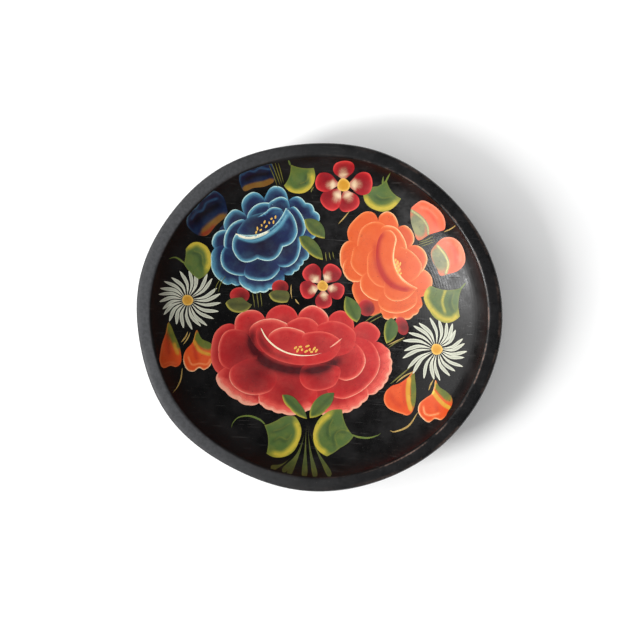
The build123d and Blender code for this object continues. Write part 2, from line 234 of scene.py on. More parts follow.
def nearest(points, line):
    """For each point: its distance from a line of points, and how far along the line that is."""
    start, run = line[:-1], np.diff(line, axis=0)
    length = np.maximum(np.hypot(*run.T), 1e-9)
    walked = np.concatenate([[0], np.cumsum(length)[:-1]])
    best, along = np.full(len(points), 1e9), np.zeros(len(points))
    for first in range(0, len(points), 2000):
        some = points[first:first + 2000]
        away = some[:, None, :] - start[None]
        share = np.clip((away * run[None]).sum(-1) / length**2, 0, 1)
        gap = np.hypot(*(np.moveaxis(away - run[None] * share[..., None], -1, 0)))
        pick = gap.argmin(1)
        rows = np.arange(len(some))
        best[first:first + 2000] = gap[rows, pick]
        along[first:first + 2000] = walked[pick] + share[rows, pick] * length[pick]
    return best, along


def within(points, line):
    """Which points lie inside a closed outline."""
    x, y = points.T
    inside = np.zeros(len(points), bool)
    for (x1, y1), (x2, y2) in zip(line, np.roll(line, -1, axis=0)):
        if y1 != y2:
            crosses = (y1 > y) != (y2 > y)
            inside ^= crosses & (x < (x2 - x1) * (y - y1) / (y2 - y1) + x1)
    return inside


def filled(line, grain):
    """Even triangles inside an outline. Returns the points, outline first, and the triangles."""
    low, high = line.min(0), line.max(0)
    columns = np.arange(low[0], high[0], grain)
    rows = np.arange(low[1], high[1], grain * 0.866)
    grid = np.array([(x + (row % 2) * grain / 2, y) for row, y in enumerate(rows) for x in columns])
    if len(grid):
        grid = grid[within(grid, line)]
    if len(grid):
        gap, _ = nearest(grid, np.concatenate([line, line[:1]]))
        grid = grid[gap > 0.55 * grain]
    points = np.concatenate([line, grid]) if len(grid) else line
    sides = [(number, (number + 1) % len(line)) for number in range(len(line))]
    flat, _, faces, *_ = geometry.delaunay_2d_cdt([Vector(p) for p in points], sides, [], 0, 1e-7, False)
    flat, faces = np.array([tuple(p) for p in flat]), np.array(faces)
    faces = faces[within(flat[faces].mean(axis=1), line)]
    first, second, third = (flat[faces[:, corner]] for corner in range(3))
    turned = (second - first)[:, 0] * (third - first)[:, 1] < (second - first)[:, 1] * (third - first)[:, 0]
    faces[turned] = faces[turned][:, ::-1]
    return flat, faces.tolist()


class Motif:
    """The sheets of paint of one flower, gathered into one mesh."""

    def __init__(self, layer=0):
        self.flat, self.lifts, self.faces, self.depth, self.along = [], [], [], [], []
        self.light, self.deep, self.second, self.third, self.count, self.layer = [], [], [], [], 0, layer

    def lay(self, line, edge=2.0, light=0.8, toward=None, throat=None, reach=12.0, deep=0.8,
            shade=0.0, second=0.0, third=0.0, ridge=1.0, grain=0.75):
        """Lays one sheet. edge is the width of its light band and light its strength, all round or
        toward a direction in degrees. The deep paint gathers about the throat, out to its reach.
        second and third are how much of those pigments the sheet holds."""
        area = np.cross(line, np.roll(line, -1, axis=0)).sum() / 2
        if area < 0:
            line = line[::-1]
        flat, faces = filled(line, grain)
        ring = np.concatenate([line, line[:1]])
        gap, along = nearest(flat, ring)
        glow = light * (0.8 * np.clip(1 - gap / (edge * BLEND), 0, 1) ** 1.3
                        + 0.45 * np.exp(-(gap / 0.6) ** 2))
        if toward is not None:
            tangent = np.roll(line, -1, axis=0) - np.roll(line, 1, axis=0)
            facing = np.arctan2(-tangent[:, 0], tangent[:, 1])
            strength = np.clip(np.cos(facing - radians(toward)) * 0.75 + 0.35, 0, 1)
            strength = np.convolve(np.tile(strength, 3), np.ones(7) / 7, "same")[len(line):2 * len(line)]
            walked = np.concatenate([[0], np.cumsum(np.hypot(*np.diff(ring, axis=0).T))])
            glow *= np.interp(along, walked, np.append(strength, strength[0]))
        dark = np.full(len(flat), shade)
        if throat is not None:
            dark = dark + deep * np.clip(1 - np.hypot(*(flat - throat).T) / reach, 0, 1) ** 0.65
        lift = FIRST_LIFT + LAYER * self.layer + RIDGE * ridge * glow * np.clip(gap / 0.5, 0, 1)
        bottom, under = filled(line, UNDERSIDE_GRAIN)
        self.keep(flat, lift, faces, gap, along, glow, dark, second, third)
        bottom_first = self.count
        self.keep(bottom, np.full(len(bottom), -UNDER), [f[::-1] for f in under],
                  np.zeros(len(bottom)), np.zeros(len(bottom)), np.zeros(len(bottom)),
                  np.zeros(len(bottom)), second, third)
        top_first = bottom_first - len(flat)
        rim = len(line)
        for number in range(rim):
            after = (number + 1) % rim
            self.faces.append((top_first + after, top_first + number,
                               bottom_first + number, bottom_first + after))
        self.layer += 1

    def keep(self, flat, lift, faces, gap, along, light, deep, second, third):
        self.faces += [tuple(corner + self.count for corner in face) for face in faces]
        for store, values in ((self.flat, flat), (self.lifts, lift), (self.depth, gap), (self.along, along),
                              (self.light, light), (self.deep, deep)):
            store.append(np.asarray(values, float))
        self.second.append(np.full(len(flat), float(second)))
        self.third.append(np.full(len(flat), float(third)))
        self.count += len(flat)

    def glaze(self, corners, width, deep=0.0, light=0.0, second=0.0, third=0.0, since=0):
        """A thin soft stroke over what is already laid, from sheet number since on."""
        line = open_curve(corners, 60)
        for number in range(2 * since, len(self.flat)):
            gap, along = nearest(self.flat[number], line)
            taper = np.clip(np.minimum(along, along.max() + 1e-6 - along) / (2 * width) + 0.4, 0, 1)
            touch = np.exp(-(gap / width) ** 2) * taper
            self.deep[number] = self.deep[number] + deep * touch
            self.light[number] = self.light[number] * (1 - abs(deep) * touch * 0.5) + light * touch
            self.second[number] = self.second[number] + second * touch
            self.third[number] = self.third[number] + third * touch

    def mesh(self, name):
        """The painted sheets as one flat mesh: x and y in hands, z the lift off the wood in metres."""
        mesh = bpy.data.meshes.new(name)
        places = np.concatenate([np.concatenate(self.flat), np.concatenate(self.lifts)[:, None]], axis=1)
        mesh.from_pydata(places.tolist(), [], self.faces)
        for label, parts in (("light", self.light), ("deep", self.deep), ("second", self.second),
                             ("third", self.third)):
            store = mesh.attributes.new(label, "FLOAT", "POINT")
            store.data.foreach_set("value", np.clip(np.concatenate(parts), 0, 1).astype(np.float32))
        corner = np.zeros(len(mesh.loops), np.int32)
        mesh.loops.foreach_get("vertex_index", corner)
        brush = np.stack([np.concatenate(self.along), np.concatenate(self.depth)], axis=-1)[corner]
        mesh.uv_layers.new(name="brush").data.foreach_set("uv", brush.astype(np.float32).ravel())
        mesh.polygons.foreach_set("use_smooth", np.ones(len(mesh.polygons), bool))
        mesh.validate()
        return mesh


def lay_on_wood(mesh, node, finish):
    """Bends a flat painted mesh onto the wood, fixes it to the bowl, and hides the frame's node in its place.
    """
    flat = np.zeros(len(mesh.vertices) * 3)
    mesh.vertices.foreach_get("co", flat)
    flat = flat.reshape(-1, 3)
    mesh.vertices.foreach_set("co", on_wood(*to_bowl(flat[:, :2]), flat[:, 2]).ravel())
    mesh.update()
    mesh.set_sharp_from_angle(angle=radians(35))
    mesh.materials.clear()
    mesh.materials.append(finish)
    piece = bpy.data.objects.new(mesh.name, mesh)
    bpy.context.scene.collection.objects.link(piece)
    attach(piece, "bowl")
    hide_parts(node)
    print(f"{mesh.name}: {sum(len(face.vertices) - 2 for face in mesh.polygons)} triangles")
    return piece


# %% [markdown]
# ## Colour that the brush left
# One finish serves every flower: the colours differ, the brushwork doesn't. Body colour, deep glaze
# and light edge are mixed by the numbers that each sheet carries. Fine streaks run along the brush
# map, as bristles leave them, and a slow mottling stands for colour that was never mixed through.
# Both come from one shader node group, built once and placed in each finish.

# %% Node helpers


def srgb(red, green, blue):
    """A colour given as on a paint chart, 0 to 255, in the linear light that the shader wants."""
    def line(value):
        value /= 255
        return value / 12.92 if value <= 0.04045 else ((value + 0.055) / 1.055) ** 2.4
    return (line(red), line(green), line(blue), 1.0)


class Nodes:
    """Adds nodes to a tree in one line each."""

    def __init__(self, tree):
        self.tree = tree

    def add(self, kind, inputs=(), **settings):
        node = self.tree.nodes.new(kind)
        for setting, value in settings.items():
            setattr(node, setting, value)
        for key, value in dict(inputs).items():
            if isinstance(value, bpy.types.NodeSocket):
                self.tree.links.new(value, node.inputs[key])
            else:
                node.inputs[key].default_value = value
        return node

    def math(self, operation, *values, clamp=False):
        return self.add("ShaderNodeMath", enumerate(values), operation=operation, use_clamp=clamp).outputs[0]

    def mix(self, share, first, second):
        return self.add("ShaderNodeMix", {0: share, 6: first, 7: second}, data_type="RGBA").outputs[2]

    def between(self, value, low, high, to_low=0.0, to_high=1.0):
        return self.add("ShaderNodeMapRange", {0: value, 1: low, 2: high, 3: to_low, 4: to_high},
                        interpolation_type="SMOOTHSTEP").outputs[0]

    def noise(self, where, scale, detail=3.0, rough=0.5, distortion=0.0):
        return self.add("ShaderNodeTexNoise", {"Vector": where, "Scale": scale, "Detail": detail,
                                               "Roughness": rough, "Distortion": distortion}).outputs[0]


def new_group(name, inputs, outputs, kind="ShaderNodeTree"):
    """An empty node group with the named sockets, and its two end nodes."""
    tree = bpy.data.node_groups.new(name, kind)
    for direction, sockets in (("INPUT", inputs), ("OUTPUT", outputs)):
        for label, sort, value in sockets:
            socket = tree.interface.new_socket(label, in_out=direction, socket_type="NodeSocket" + sort)
            if value is not None:
                socket.default_value = value
    nodes = Nodes(tree)
    return nodes, nodes.add("NodeGroupInput"), nodes.add("NodeGroupOutput")


# %% [markdown]
# The brushwork group reads the brush map. Stretched along the edge, noise turns into bristle
# streaks. It puts out a tone for the colour and a height for the bump.

# %% Brushwork group
brushwork, given, made = new_group(
    "Brushwork", [("Along", "Float", 0.25), ("Across", "Float", 3.2), ("Mottle", "Float", 110.0)],
    [("Streaks", "Float", None), ("Mottling", "Float", None), ("Height", "Float", None)])
brush_map = brushwork.add("ShaderNodeUVMap", uv_map="brush").outputs[0]
parts = brushwork.add("ShaderNodeSeparateXYZ", {0: brush_map})
stretched = brushwork.add("ShaderNodeCombineXYZ", {
    0: brushwork.math("MULTIPLY", parts.outputs[0], given.outputs["Along"]),
    1: brushwork.math("MULTIPLY", parts.outputs[1], given.outputs["Across"])}).outputs[0]
streaks = brushwork.noise(stretched, 1.0, 4.0, 0.6, 0.3)
place = brushwork.add("ShaderNodeTexCoord").outputs["Object"]
mottling = brushwork.noise(place, given.outputs["Mottle"], 3.0, 0.55)
pits = brushwork.noise(place, 900.0, 2.0, 0.5)
height = brushwork.math("ADD", brushwork.math("MULTIPLY", streaks, 0.8),
                        brushwork.math("MULTIPLY", pits, 0.2))
for label, socket in (("Streaks", streaks), ("Mottling", mottling), ("Height", height)):
    brushwork.tree.links.new(socket, made.inputs[label])

# %% [markdown]
# Age shows on all the paint alike: a web of fine cracks, dust that dulls the gloss, and small
# chips through which the black lacquer shows.

# %% Age group
age, given, made = new_group(
    "Age", [("Chips", "Float", 0.5), ("Dust", "Float", 0.3)],
    [("Chipped", "Float", None), ("Dusty", "Float", None), ("Cracked", "Float", None)])
place = age.add("ShaderNodeTexCoord").outputs["Object"]
cells = age.add("ShaderNodeTexVoronoi", {"Vector": place, "Scale": 260.0}, feature="DISTANCE_TO_EDGE")
spread = age.noise(place, 22.0, 2.0)
cracked = age.math("MULTIPLY", age.between(cells.outputs[0], 0.03, 0.0), age.between(spread, 0.52, 0.68))
specks = age.noise(place, 620.0, 2.0, 0.5)
chipped = age.math("MULTIPLY", age.between(specks, 0.70, 0.74), given.outputs["Chips"])
dusty = age.math("MULTIPLY", age.between(age.noise(place, 45.0, 5.0, 0.65), 0.35, 0.75),
                 given.outputs["Dust"])
for label, socket in (("Chipped", chipped), ("Dusty", dusty), ("Cracked", cracked)):
    age.tree.links.new(socket, made.inputs[label])

# %% Oil paint finish
LACQUER_BLACK = srgb(22, 19, 19)
DRY_PAINT_ROUGHNESS = 0.38
PAINT_CHIPS = 0.6              # how much of the paint's chipping shows
PAINT_DUST = 0.25


def oil_paint(name, body, deep, light, bright, second, third):
    """A finish in one painter's set of colours: body, deep glaze, light edge, and the brightest
    touch. second and third are the other pigments of the motif, such as a bud's green cap and the
    ochre of an eye. Each is its own deep, body and light colour."""
    finish = bpy.data.materials.new(name)
    finish.use_nodes = True
    nodes = Nodes(finish.node_tree)
    shader = finish.node_tree.nodes["Principled BSDF"]
    amounts = {label: nodes.add("ShaderNodeAttribute", attribute_name=label).outputs["Fac"]
               for label in ("light", "deep", "second", "third")}
    brush = nodes.add("ShaderNodeGroup", node_tree=brushwork.tree)
    worn = nodes.add("ShaderNodeGroup", {"Chips": PAINT_CHIPS, "Dust": PAINT_DUST}, node_tree=age.tree)
    streak = nodes.math("SUBTRACT", brush.outputs["Streaks"], 0.5)
    edge = nodes.math("ADD", amounts["light"], nodes.math("MULTIPLY", streak, nodes.math(
        "MULTIPLY", nodes.between(amounts["light"], 0.02, 0.5), 0.85)), clamp=True)
    glaze = nodes.math("ADD", amounts["deep"], nodes.math("MULTIPLY", streak, 0.5), clamp=True)

    def colours(body, deep, light, bright):
        paint = nodes.mix(nodes.between(brush.outputs["Mottling"], 0.38, 0.72, 0.0, 0.22), body, light)
        paint = nodes.mix(glaze, paint, deep)
        paint = nodes.mix(nodes.between(edge, 0.04, 0.60), paint, light)
        return nodes.mix(nodes.between(edge, 0.55, 1.0), paint, bright)

    paint = colours(body, deep, light, bright)
    for label, (dark, plain, pale) in (("second", second), ("third", third)):
        amount = nodes.math("ADD", amounts[label], nodes.math("MULTIPLY", streak, nodes.between(
            amounts[label], 0.02, 0.2, 0.0, 0.3)))
        paint = nodes.mix(nodes.between(amount, 0.10, 0.42), paint, colours(plain, dark, pale, pale))
    paint = nodes.mix(nodes.math("MULTIPLY", worn.outputs["Cracked"], 0.3), paint, LACQUER_BLACK)
    paint = nodes.mix(worn.outputs["Chipped"], paint, LACQUER_BLACK)
    paint = nodes.mix(nodes.math("MULTIPLY", worn.outputs["Dusty"], 0.12), paint, srgb(150, 145, 138))
    nodes.tree.links.new(paint, shader.inputs["Base Color"])
    rough = nodes.math("ADD", DRY_PAINT_ROUGHNESS, nodes.math("MULTIPLY", streak, 0.25))
    rough = nodes.math("ADD", rough, nodes.math("MULTIPLY", worn.outputs["Dusty"], 0.5), clamp=True)
    nodes.tree.links.new(rough, shader.inputs["Roughness"])
    bumps = nodes.math("SUBTRACT", brush.outputs["Height"],
                       nodes.math("MULTIPLY", worn.outputs["Cracked"], 0.4))
    bump = nodes.add("ShaderNodeBump", {"Strength": 0.3, "Distance": 0.00015, "Height": bumps})
    nodes.tree.links.new(bump.outputs[0], shader.inputs["Normal"])
    shader.inputs["Specular IOR Level"].default_value = 0.4
    return finish


CREAM = (srgb(206, 170, 128), srgb(238, 222, 186), srgb(252, 242, 220))
OCHRE = (srgb(150, 84, 24), srgb(196, 138, 36), srgb(228, 182, 86))
OLIVE = (srgb(40, 42, 22), srgb(86, 90, 44), srgb(150, 142, 60))
RED = oil_paint("red oil paint", srgb(183, 33, 35), srgb(66, 6, 14), srgb(214, 84, 72), srgb(230, 160, 134),
                CREAM, OCHRE)
BLOSSOM = oil_paint("crimson oil paint", srgb(172, 18, 28), srgb(116, 6, 20), srgb(226, 70, 66),
                    srgb(244, 150, 136), CREAM, OCHRE)
BLUE = oil_paint("blue oil paint", srgb(31, 49, 92), srgb(22, 12, 32), srgb(82, 142, 166),
                 srgb(190, 222, 212),
                 (srgb(90, 120, 130), srgb(204, 208, 184), srgb(240, 236, 210)), OCHRE)
ORANGE = oil_paint("orange oil paint", srgb(206, 82, 29), srgb(170, 32, 20), srgb(220, 114, 58),
                   srgb(240, 186, 134), (srgb(224, 70, 36), srgb(250, 160, 100), srgb(254, 206, 160)), OCHRE)
GREEN = oil_paint("green oil paint", srgb(80, 104, 50), srgb(40, 60, 32), srgb(142, 140, 50),
                  srgb(186, 166, 56),
                  OLIVE, (srgb(90, 70, 34), srgb(164, 128, 60), srgb(216, 190, 120)))
BUD = oil_paint("orange bud paint", srgb(214, 78, 26), srgb(172, 36, 18), srgb(226, 118, 64),
                srgb(240, 194, 150),
                (srgb(74, 44, 20), srgb(92, 106, 40), srgb(200, 160, 44)),
                (srgb(150, 84, 24), srgb(204, 146, 40), srgb(236, 196, 84)))
PINK_BUD = oil_paint("pink bud paint", srgb(226, 98, 62), srgb(192, 50, 38), srgb(236, 138, 108),
                     srgb(244, 196, 170), (srgb(84, 70, 50), srgb(124, 128, 96), srgb(214, 204, 132)), OCHRE)
BLUE_BUD = oil_paint("blue bud paint", srgb(13, 25, 56), srgb(8, 8, 20), srgb(38, 74, 106),
                     srgb(92, 134, 152),
                     (srgb(126, 44, 20), srgb(112, 80, 28), srgb(140, 124, 40)), OCHRE)
WHITE = oil_paint("grey white oil paint", srgb(170, 173, 156), srgb(98, 98, 88), srgb(196, 198, 180),
                  srgb(218, 216, 196), CREAM, OCHRE)

# %% [markdown]
# Stamens are dabs: the tip of a small brush, loaded with ochre, set down and lifted again.

# %% Dabs


def dabs(motif, places, size=0.75, lean=70):
    """Small oval touches at places, a little longer than wide, each leaning its own way."""
    for number, (u, v) in enumerate(places):
        turn = radians(lean + 35 * sin(2.4 * number))
        long, wide = size * (1.5 + 0.4 * sin(1.7 * number)), size * 0.8
        motif.lay(smooth([(u + long * cos(a) * cos(turn) - wide * sin(a) * sin(turn),
                           v + long * cos(a) * sin(turn) + wide * sin(a) * cos(turn))
                          for a in np.linspace(0, 2 * pi, 9)[:-1]]), edge=0.5, light=0.6, third=1.0,
                  grain=0.5)


# %% [markdown]
# ## The blue rose
# The painter works from the back of a flower to its front. Round lobes come first, then the wide
# outer petals with their pale scalloped edges, then the cup, and last its bright lip.

# %% Blue rose


def sheet(motif):
    """The number of the last sheet laid, counted from the motif's first."""
    return len(motif.flat) // 2 - 1


rose = Motif()
rose.lay(scalloped(((-57, 56, 0.1), (-44.5, 61, 0.1), (-33, 72, 0.1), (-19, 71.2, 0.1), (-8.2, 67, 0.1),
                    (-4, 58, 0.0), (-8, 48, 0.0), (-9.8, 35, 0.1), (-16, 29, 0.0), (-24, 24, 0.0),
                    (-40, 18, 0.1), (-56, 24, 0.1), (-63, 36, 0.1), (-62, 48, 0.1))), edge=1, light=0,
         shade=0.6)
for corners, how in (
        (((-46.6, 66.5), (-44.8, 71.4), (-39.6, 74.7), (-34.6, 72.8), (-32.6, 68), (-37, 61), (-44, 61)),
         dict(edge=3.2, toward=120, throat=(-39, 65), reach=9)),
        (((-33, 68), (-31.2, 75), (-27.2, 78.6), (-22, 77.6), (-19.2, 73), (-19.4, 66), (-27, 62)),
         dict(edge=3.2, toward=80, throat=(-26, 69), reach=9)),
        (((-57.4, 54), (-56.6, 59), (-52, 64), (-47.5, 63.6), (-43.5, 60), (-44, 52), (-54, 49)),
         dict(edge=3.0, toward=130, throat=(-48, 57), reach=9)),
        (((-64.9, 44), (-63.4, 49.3), (-59, 52.2), (-54.5, 51.2), (-52, 45), (-56, 40.6), (-62, 40.6)),
         dict(edge=2.6, toward=140, light=0.95, throat=(-57, 45), reach=7))):
    rose.lay(smooth(corners), **how)
for corners, how in (
        (((-20, 64, 0.0), (-18.5, 70.5, 0.3), (-8.2, 69.2, 0.24), (-2.8, 64.4, 0.25), (0, 58, 0.1),
          (-8, 53, 0), (-17, 57, 0)), dict(edge=3.2, toward=40, throat=(-12, 63), reach=10)),
        (((-14, 60, 0.1), (-9, 57.6, 0.1), (-7.4, 54.2, 0.2), (-2.2, 49.0, 0.2), (-7.5, 48.2, 0.1),
          (-14, 48.4, 0)), dict(edge=2.4, toward=330, light=0.7, throat=(-13, 54), reach=6)),
        (((-65.6, 34, 0.12), (-63.2, 41.6, 0.1), (-52, 43, 0), (-43, 28, 0), (-47.2, 20.8, 0.25),
          (-53.6, 20.2, 0.2), (-59.5, 21.2, 0.15)), dict(edge=4.0, toward=215, throat=(-52, 32), reach=15)),
        (((-48.4, 28, 0.1), (-30, 31, 0), (-23, 28.4, 0.1), (-21.4, 23.4, 0.2), (-25, 19.6, 0.15),
          (-30.8, 16.8, 0.2), (-36.5, 15.2, 0.2), (-43, 16, 0.25)),
         dict(edge=4.2, toward=265, light=1.0, throat=(-35, 27), reach=12)),
        (((-14, 48, 0), (-10.6, 43.6, 0.1), (-6.3, 39.4, 0.25), (-9.6, 34.4, 0.25), (-11.8, 31.2, 0.2),
          (-15.2, 27.8, 0.2), (-18.4, 25.6, 0.3), (-22.6, 29.6, 0), (-25, 37, 0)),
         dict(edge=3.2, toward=325, light=0.75, throat=(-18, 37), reach=12))):
    rose.lay(scalloped(corners), **how)
for corners, how in (
        (((-55, 44), (-59.4, 39), (-59.6, 32), (-56, 27.3), (-50, 25.2), (-44, 26.2), (-41, 34), (-47, 44)),
         dict(edge=2.2, toward=215, throat=(-48, 35), reach=13, light=0.85)),
        (((-46, 28), (-44.4, 23.8), (-38.5, 22.1), (-31, 22.6), (-26, 26.3), (-24.3, 31), (-30, 38),
          (-41, 37)),
         dict(edge=2.4, toward=270, throat=(-36, 31), reach=12, light=0.85)),
        (((-25.6, 32), (-19.6, 30.7), (-14.3, 34.2), (-11.8, 40), (-11.4, 46), (-13, 51), (-21, 50),
          (-27, 41)),
         dict(edge=2.2, toward=325, throat=(-20, 42), reach=12, light=0.85)),
        (((-45, 58.4), (-51.6, 56.9), (-56, 52), (-57.8, 46.2), (-56.8, 41.6), (-49, 42), (-43, 50)),
         dict(edge=2.0, toward=150, throat=(-48, 48), reach=11, light=1.0)),
        (((-43.6, 60), (-40.6, 65.4), (-36, 68.4), (-30, 68.8), (-24, 66), (-20, 58), (-30, 50), (-42, 52)),
         dict(edge=2.6, toward=110, throat=(-34, 58), reach=13)),
        (((-30.6, 67.6), (-27, 71.2), (-22.5, 72.6), (-18.8, 70.4), (-18, 64), (-21, 57), (-29, 59)),
         dict(edge=2.2, toward=90, throat=(-24, 63), reach=10)),
        (((-19.4, 64), (-15.4, 67), (-11.4, 63.4), (-8.8, 58), (-8.4, 53), (-11, 48.8), (-17, 48), (-21, 56)),
         dict(edge=2.2, toward=30, throat=(-15, 56), reach=10, light=0.9))):
    rose.lay(smooth(corners), **how)
rose.lay(smooth(((-42, 60.5), (-36, 62.6), (-28, 64.6), (-22, 64), (-22, 55), (-34, 48), (-49, 50),
                 (-47, 56))),
         light=0.25, edge=3, throat=(-37, 55), reach=13, deep=0.9)
rose.lay(brush_mark(((-37.5, 60.2), (-32, 62.4), (-28, 64.9), (-22.4, 65.2)), 3.0, 0.6), light=0.75, edge=2.4,
         toward=90, throat=(-30, 61), reach=3)
rose.lay(scalloped(((-50.6, 50.4, -0.20), (-20.2, 66.2, 0.12), (-13.2, 52, 0.18), (-22.2, 42.9, 0.27),
                    (-37.8, 35.6, 0.31), (-52.8, 41, 0.10))),
         edge=2.6, light=0.8, throat=(-35, 44), reach=19, deep=0.95)
rose.glaze(((-19.6, 66), (-18, 61), (-17.4, 55), (-19, 50)), 2.2, deep=0.35, since=sheet(rose))
rose.lay(brush_mark(((-50.8, 50.3), (-45.9, 48.3), (-39.8, 48.3), (-32.2, 51.4), (-25.2, 56.6), (-20.3, 62.9),
                     (-18.6, 67.4)), 1.6, 0.30, 0.6), edge=1.2, light=0.6, toward=90, ridge=1.6)
rose.glaze(((-51.4, 50.2), (-45.9, 48.4), (-39.8, 48.6), (-31.4, 51.8)), 1.9, second=0.7, since=sheet(rose))
rose.glaze(((-50, 49.0), (-44, 46.6), (-38, 46.6), (-30.6, 50), (-23.6, 55.6), (-18.8, 63)), 1.3, light=0.5,
           since=sheet(rose) - 1)
dabs(rose, ((-38.4, 51.4), (-37.6, 53.6), (-35.6, 52.8), (-35.0, 55.6), (-33.2, 57.6), (-32.2, 55.0),
            (-30.4, 57.2),
            (-29.0, 59.6), (-27.8, 57.6), (-26.6, 60.6)), 0.62)
lay_on_wood(rose.mesh("blue_rose_petals"), "blue_rose", BLUE)

# %% [markdown]
# ## The orange rose
# The same order, with the flower turned on its side: its cup opens to the right, and one long
# front petal sweeps down its middle with a dark red shade at its back.

# %% Orange rose
rose = Motif()
rose.lay(scalloped(((16, 32, 0.1), (20, 46, 0.1), (34, 58, 0.1), (47, 53, 0.1), (55, 42, 0.1), (62, 28, 0.1),
                    (62, 15, 0.0), (58, 3, 0.0), (42, 1, 0.0), (34, 3, 0.0), (24, 10, 0.0), (22, 20, 0.1))),
         edge=1, light=0, shade=0.4)
for corners, how in (
        (((17.4, 50), (18.3, 55), (22.5, 60), (27.5, 63.5), (32.5, 63.2), (35.7, 59.3), (36, 52), (28, 44),
          (20, 45)),
         dict(edge=2.0, toward=120, light=0.6)),
        (((36, 57.5), (37, 61.4), (41, 63.6), (45.3, 61.7), (47.7, 57.5), (47.8, 53.6), (42, 50), (37, 52)),
         dict(edge=2.0, toward=70, light=0.9)),
        (((47.2, 52.6), (51.5, 55.3), (55.5, 53), (57.8, 48.5), (57.3, 44.5), (54, 41.6), (48, 43)),
         dict(edge=2.0, toward=20, light=0.9, shade=0.25)),
        (((13.1, 33), (13, 40), (15.5, 45), (19.5, 46.6), (24, 44), (27, 36), (24, 27), (18, 26),
          (14.5, 29.5)),
         dict(edge=2.4, toward=170, light=0.8)),
        (((14.6, 30.5), (16.1, 25), (19.8, 21.9), (25, 21.6), (30, 26), (28, 34), (18, 36)),
         dict(edge=2.0, toward=225, light=1.0)),
        (((57, 31), (63.6, 28.8), (67.6, 25.4), (69, 21.2), (67.8, 16), (63.4, 12.2), (56, 13), (50, 22)),
         dict(edge=3.4, toward=10, light=0.7)),
        (((52, 41), (58.5, 43.4), (63.5, 40.6), (65.8, 35.6), (65, 31), (62, 26.8), (56, 27), (51, 33)),
         dict(edge=2.0, toward=10, light=0.95, shade=0.2))):
    rose.lay(smooth(corners), **how)
for corners, how in (
        (((22, 21.5, 0), (36, 20, 0), (40, 10, 0), (39.4, 3, 0), (33.8, 0.6, 0.15), (28, 3, 0.1),
          (23, 9.6, 0.05),
          (20.4, 16.6, 0.1)), dict(edge=3.0, toward=215, light=0.6, shade=0.35)),
        (((44, 16, 0), (61, 14, 0.05), (63, 9, 0.2), (61.4, 4.6, 0.2), (57.8, 0.6, 0.2), (52.6, -1.8, 0.15),
          (47, -0.8, 0.15), (42.4, -2, 0.2), (39, 1.5, 0.2), (38.4, 7, 0)),
         dict(edge=2.4, toward=275, light=0.85))):
    rose.lay(scalloped(corners), **how)
for corners, how in (
        (((23.8, 47), (26, 53.6), (31.6, 57.3), (38, 57), (43, 52), (40, 40), (28, 38), (23.8, 42)),
         dict(edge=1.7, toward=130, light=0.6)),
        (((20.2, 38), (19.6, 32.8), (22.4, 27.8), (27.6, 24.6), (34, 26), (36, 37), (29, 43), (22, 42.6)),
         dict(edge=1.7, toward=215, light=0.65)),
        (((27.4, 26), (25.4, 21), (26.4, 16), (31, 11.6), (37, 9.8), (43, 13), (42, 23), (35, 29)),
         dict(edge=1.8, toward=220, light=0.8)),
        (((36.6, 11.4), (37.4, 6), (43, 2.6), (50, 2.1), (56.2, 4.6), (60, 9.2), (58, 17), (46, 19),
          (38, 17)),
         dict(edge=1.9, toward=280, light=0.75)),
        (((30.6, 39), (29.6, 31), (30.4, 25), (34.5, 20), (40, 17.8), (46, 19), (46, 32), (38, 42)),
         dict(edge=1.6, toward=215, light=0.55, throat=(38, 30), reach=8, deep=0.25)),
        (((40, 19), (40.8, 13), (45.6, 9.6), (51.6, 10), (57, 13.4), (59, 18), (51, 25), (42, 25)),
         dict(edge=1.7, toward=265, light=0.7)),
        (((38, 54), (42, 55.4), (47, 53.9), (51, 49.2), (53.5, 43), (53, 36), (47, 32), (40, 37), (36.5, 47)),
         dict(edge=2.0, toward=45, light=0.95)),
        (((49, 42), (54, 41.2), (59, 37.2), (62.6, 31.6), (61.6, 26), (57.5, 22), (52, 21), (47.6, 27),
          (46.8, 36)),
         dict(edge=1.7, toward=15, light=0.7, throat=(49, 32), reach=5, deep=0.5)),
        (((40.4, 52.4), (44.6, 51.8), (47.4, 47), (46.1, 41), (45.7, 35), (47.5, 28.4), (51, 22.8),
          (56, 18.9),
          (60.2, 17.2), (54, 15), (46, 17), (39.6, 22.6), (35.8, 31), (35, 40), (36.6, 48)),
         dict(edge=1.5, toward=20, light=0.8))):
    rose.lay(smooth(corners), **how)
rose.glaze(((39, 51.6), (36.2, 45), (35.9, 37), (38.2, 29), (43, 21.6), (50, 17.2), (56, 16.4)), 1.9,
           deep=1.0,
           since=sheet(rose))
rose.glaze(((34.4, 45), (34.2, 37), (36.4, 28.6), (41, 21.2), (47, 16.6)), 1.4, deep=0.5)
rose.glaze(((47.6, 34.4), (48, 30.6), (49.6, 27)), 1.6, second=0.5, since=sheet(rose) - 2)
rose.lay(brush_mark(((47.0, 49.6), (46.4, 44), (45.6, 38), (46.0, 33), (48.0, 27.6), (51.6, 22.8),
                     (56.4, 19.2),
                     (60.0, 17.6)), 0.9, 0.45), edge=1.0, light=1.0)
dabs(rose, ((46.9, 34.6), (48.3, 33.2), (47.0, 31.8), (48.8, 30.8), (47.6, 29.4), (49.4, 28.6), (48.4, 27.0),
            (50.2, 26.4), (49.8, 32.2)), 0.6)
lay_on_wood(rose.mesh("orange_rose_petals"), "orange_rose", ORANGE)

# %% [markdown]
# ## The red peony
# The largest flower fills the lower half. Its far petals are plain red lobes, the near ones have
# broad pink scalloped edges, and a dark glaze under the cup lifts it off the petals below.

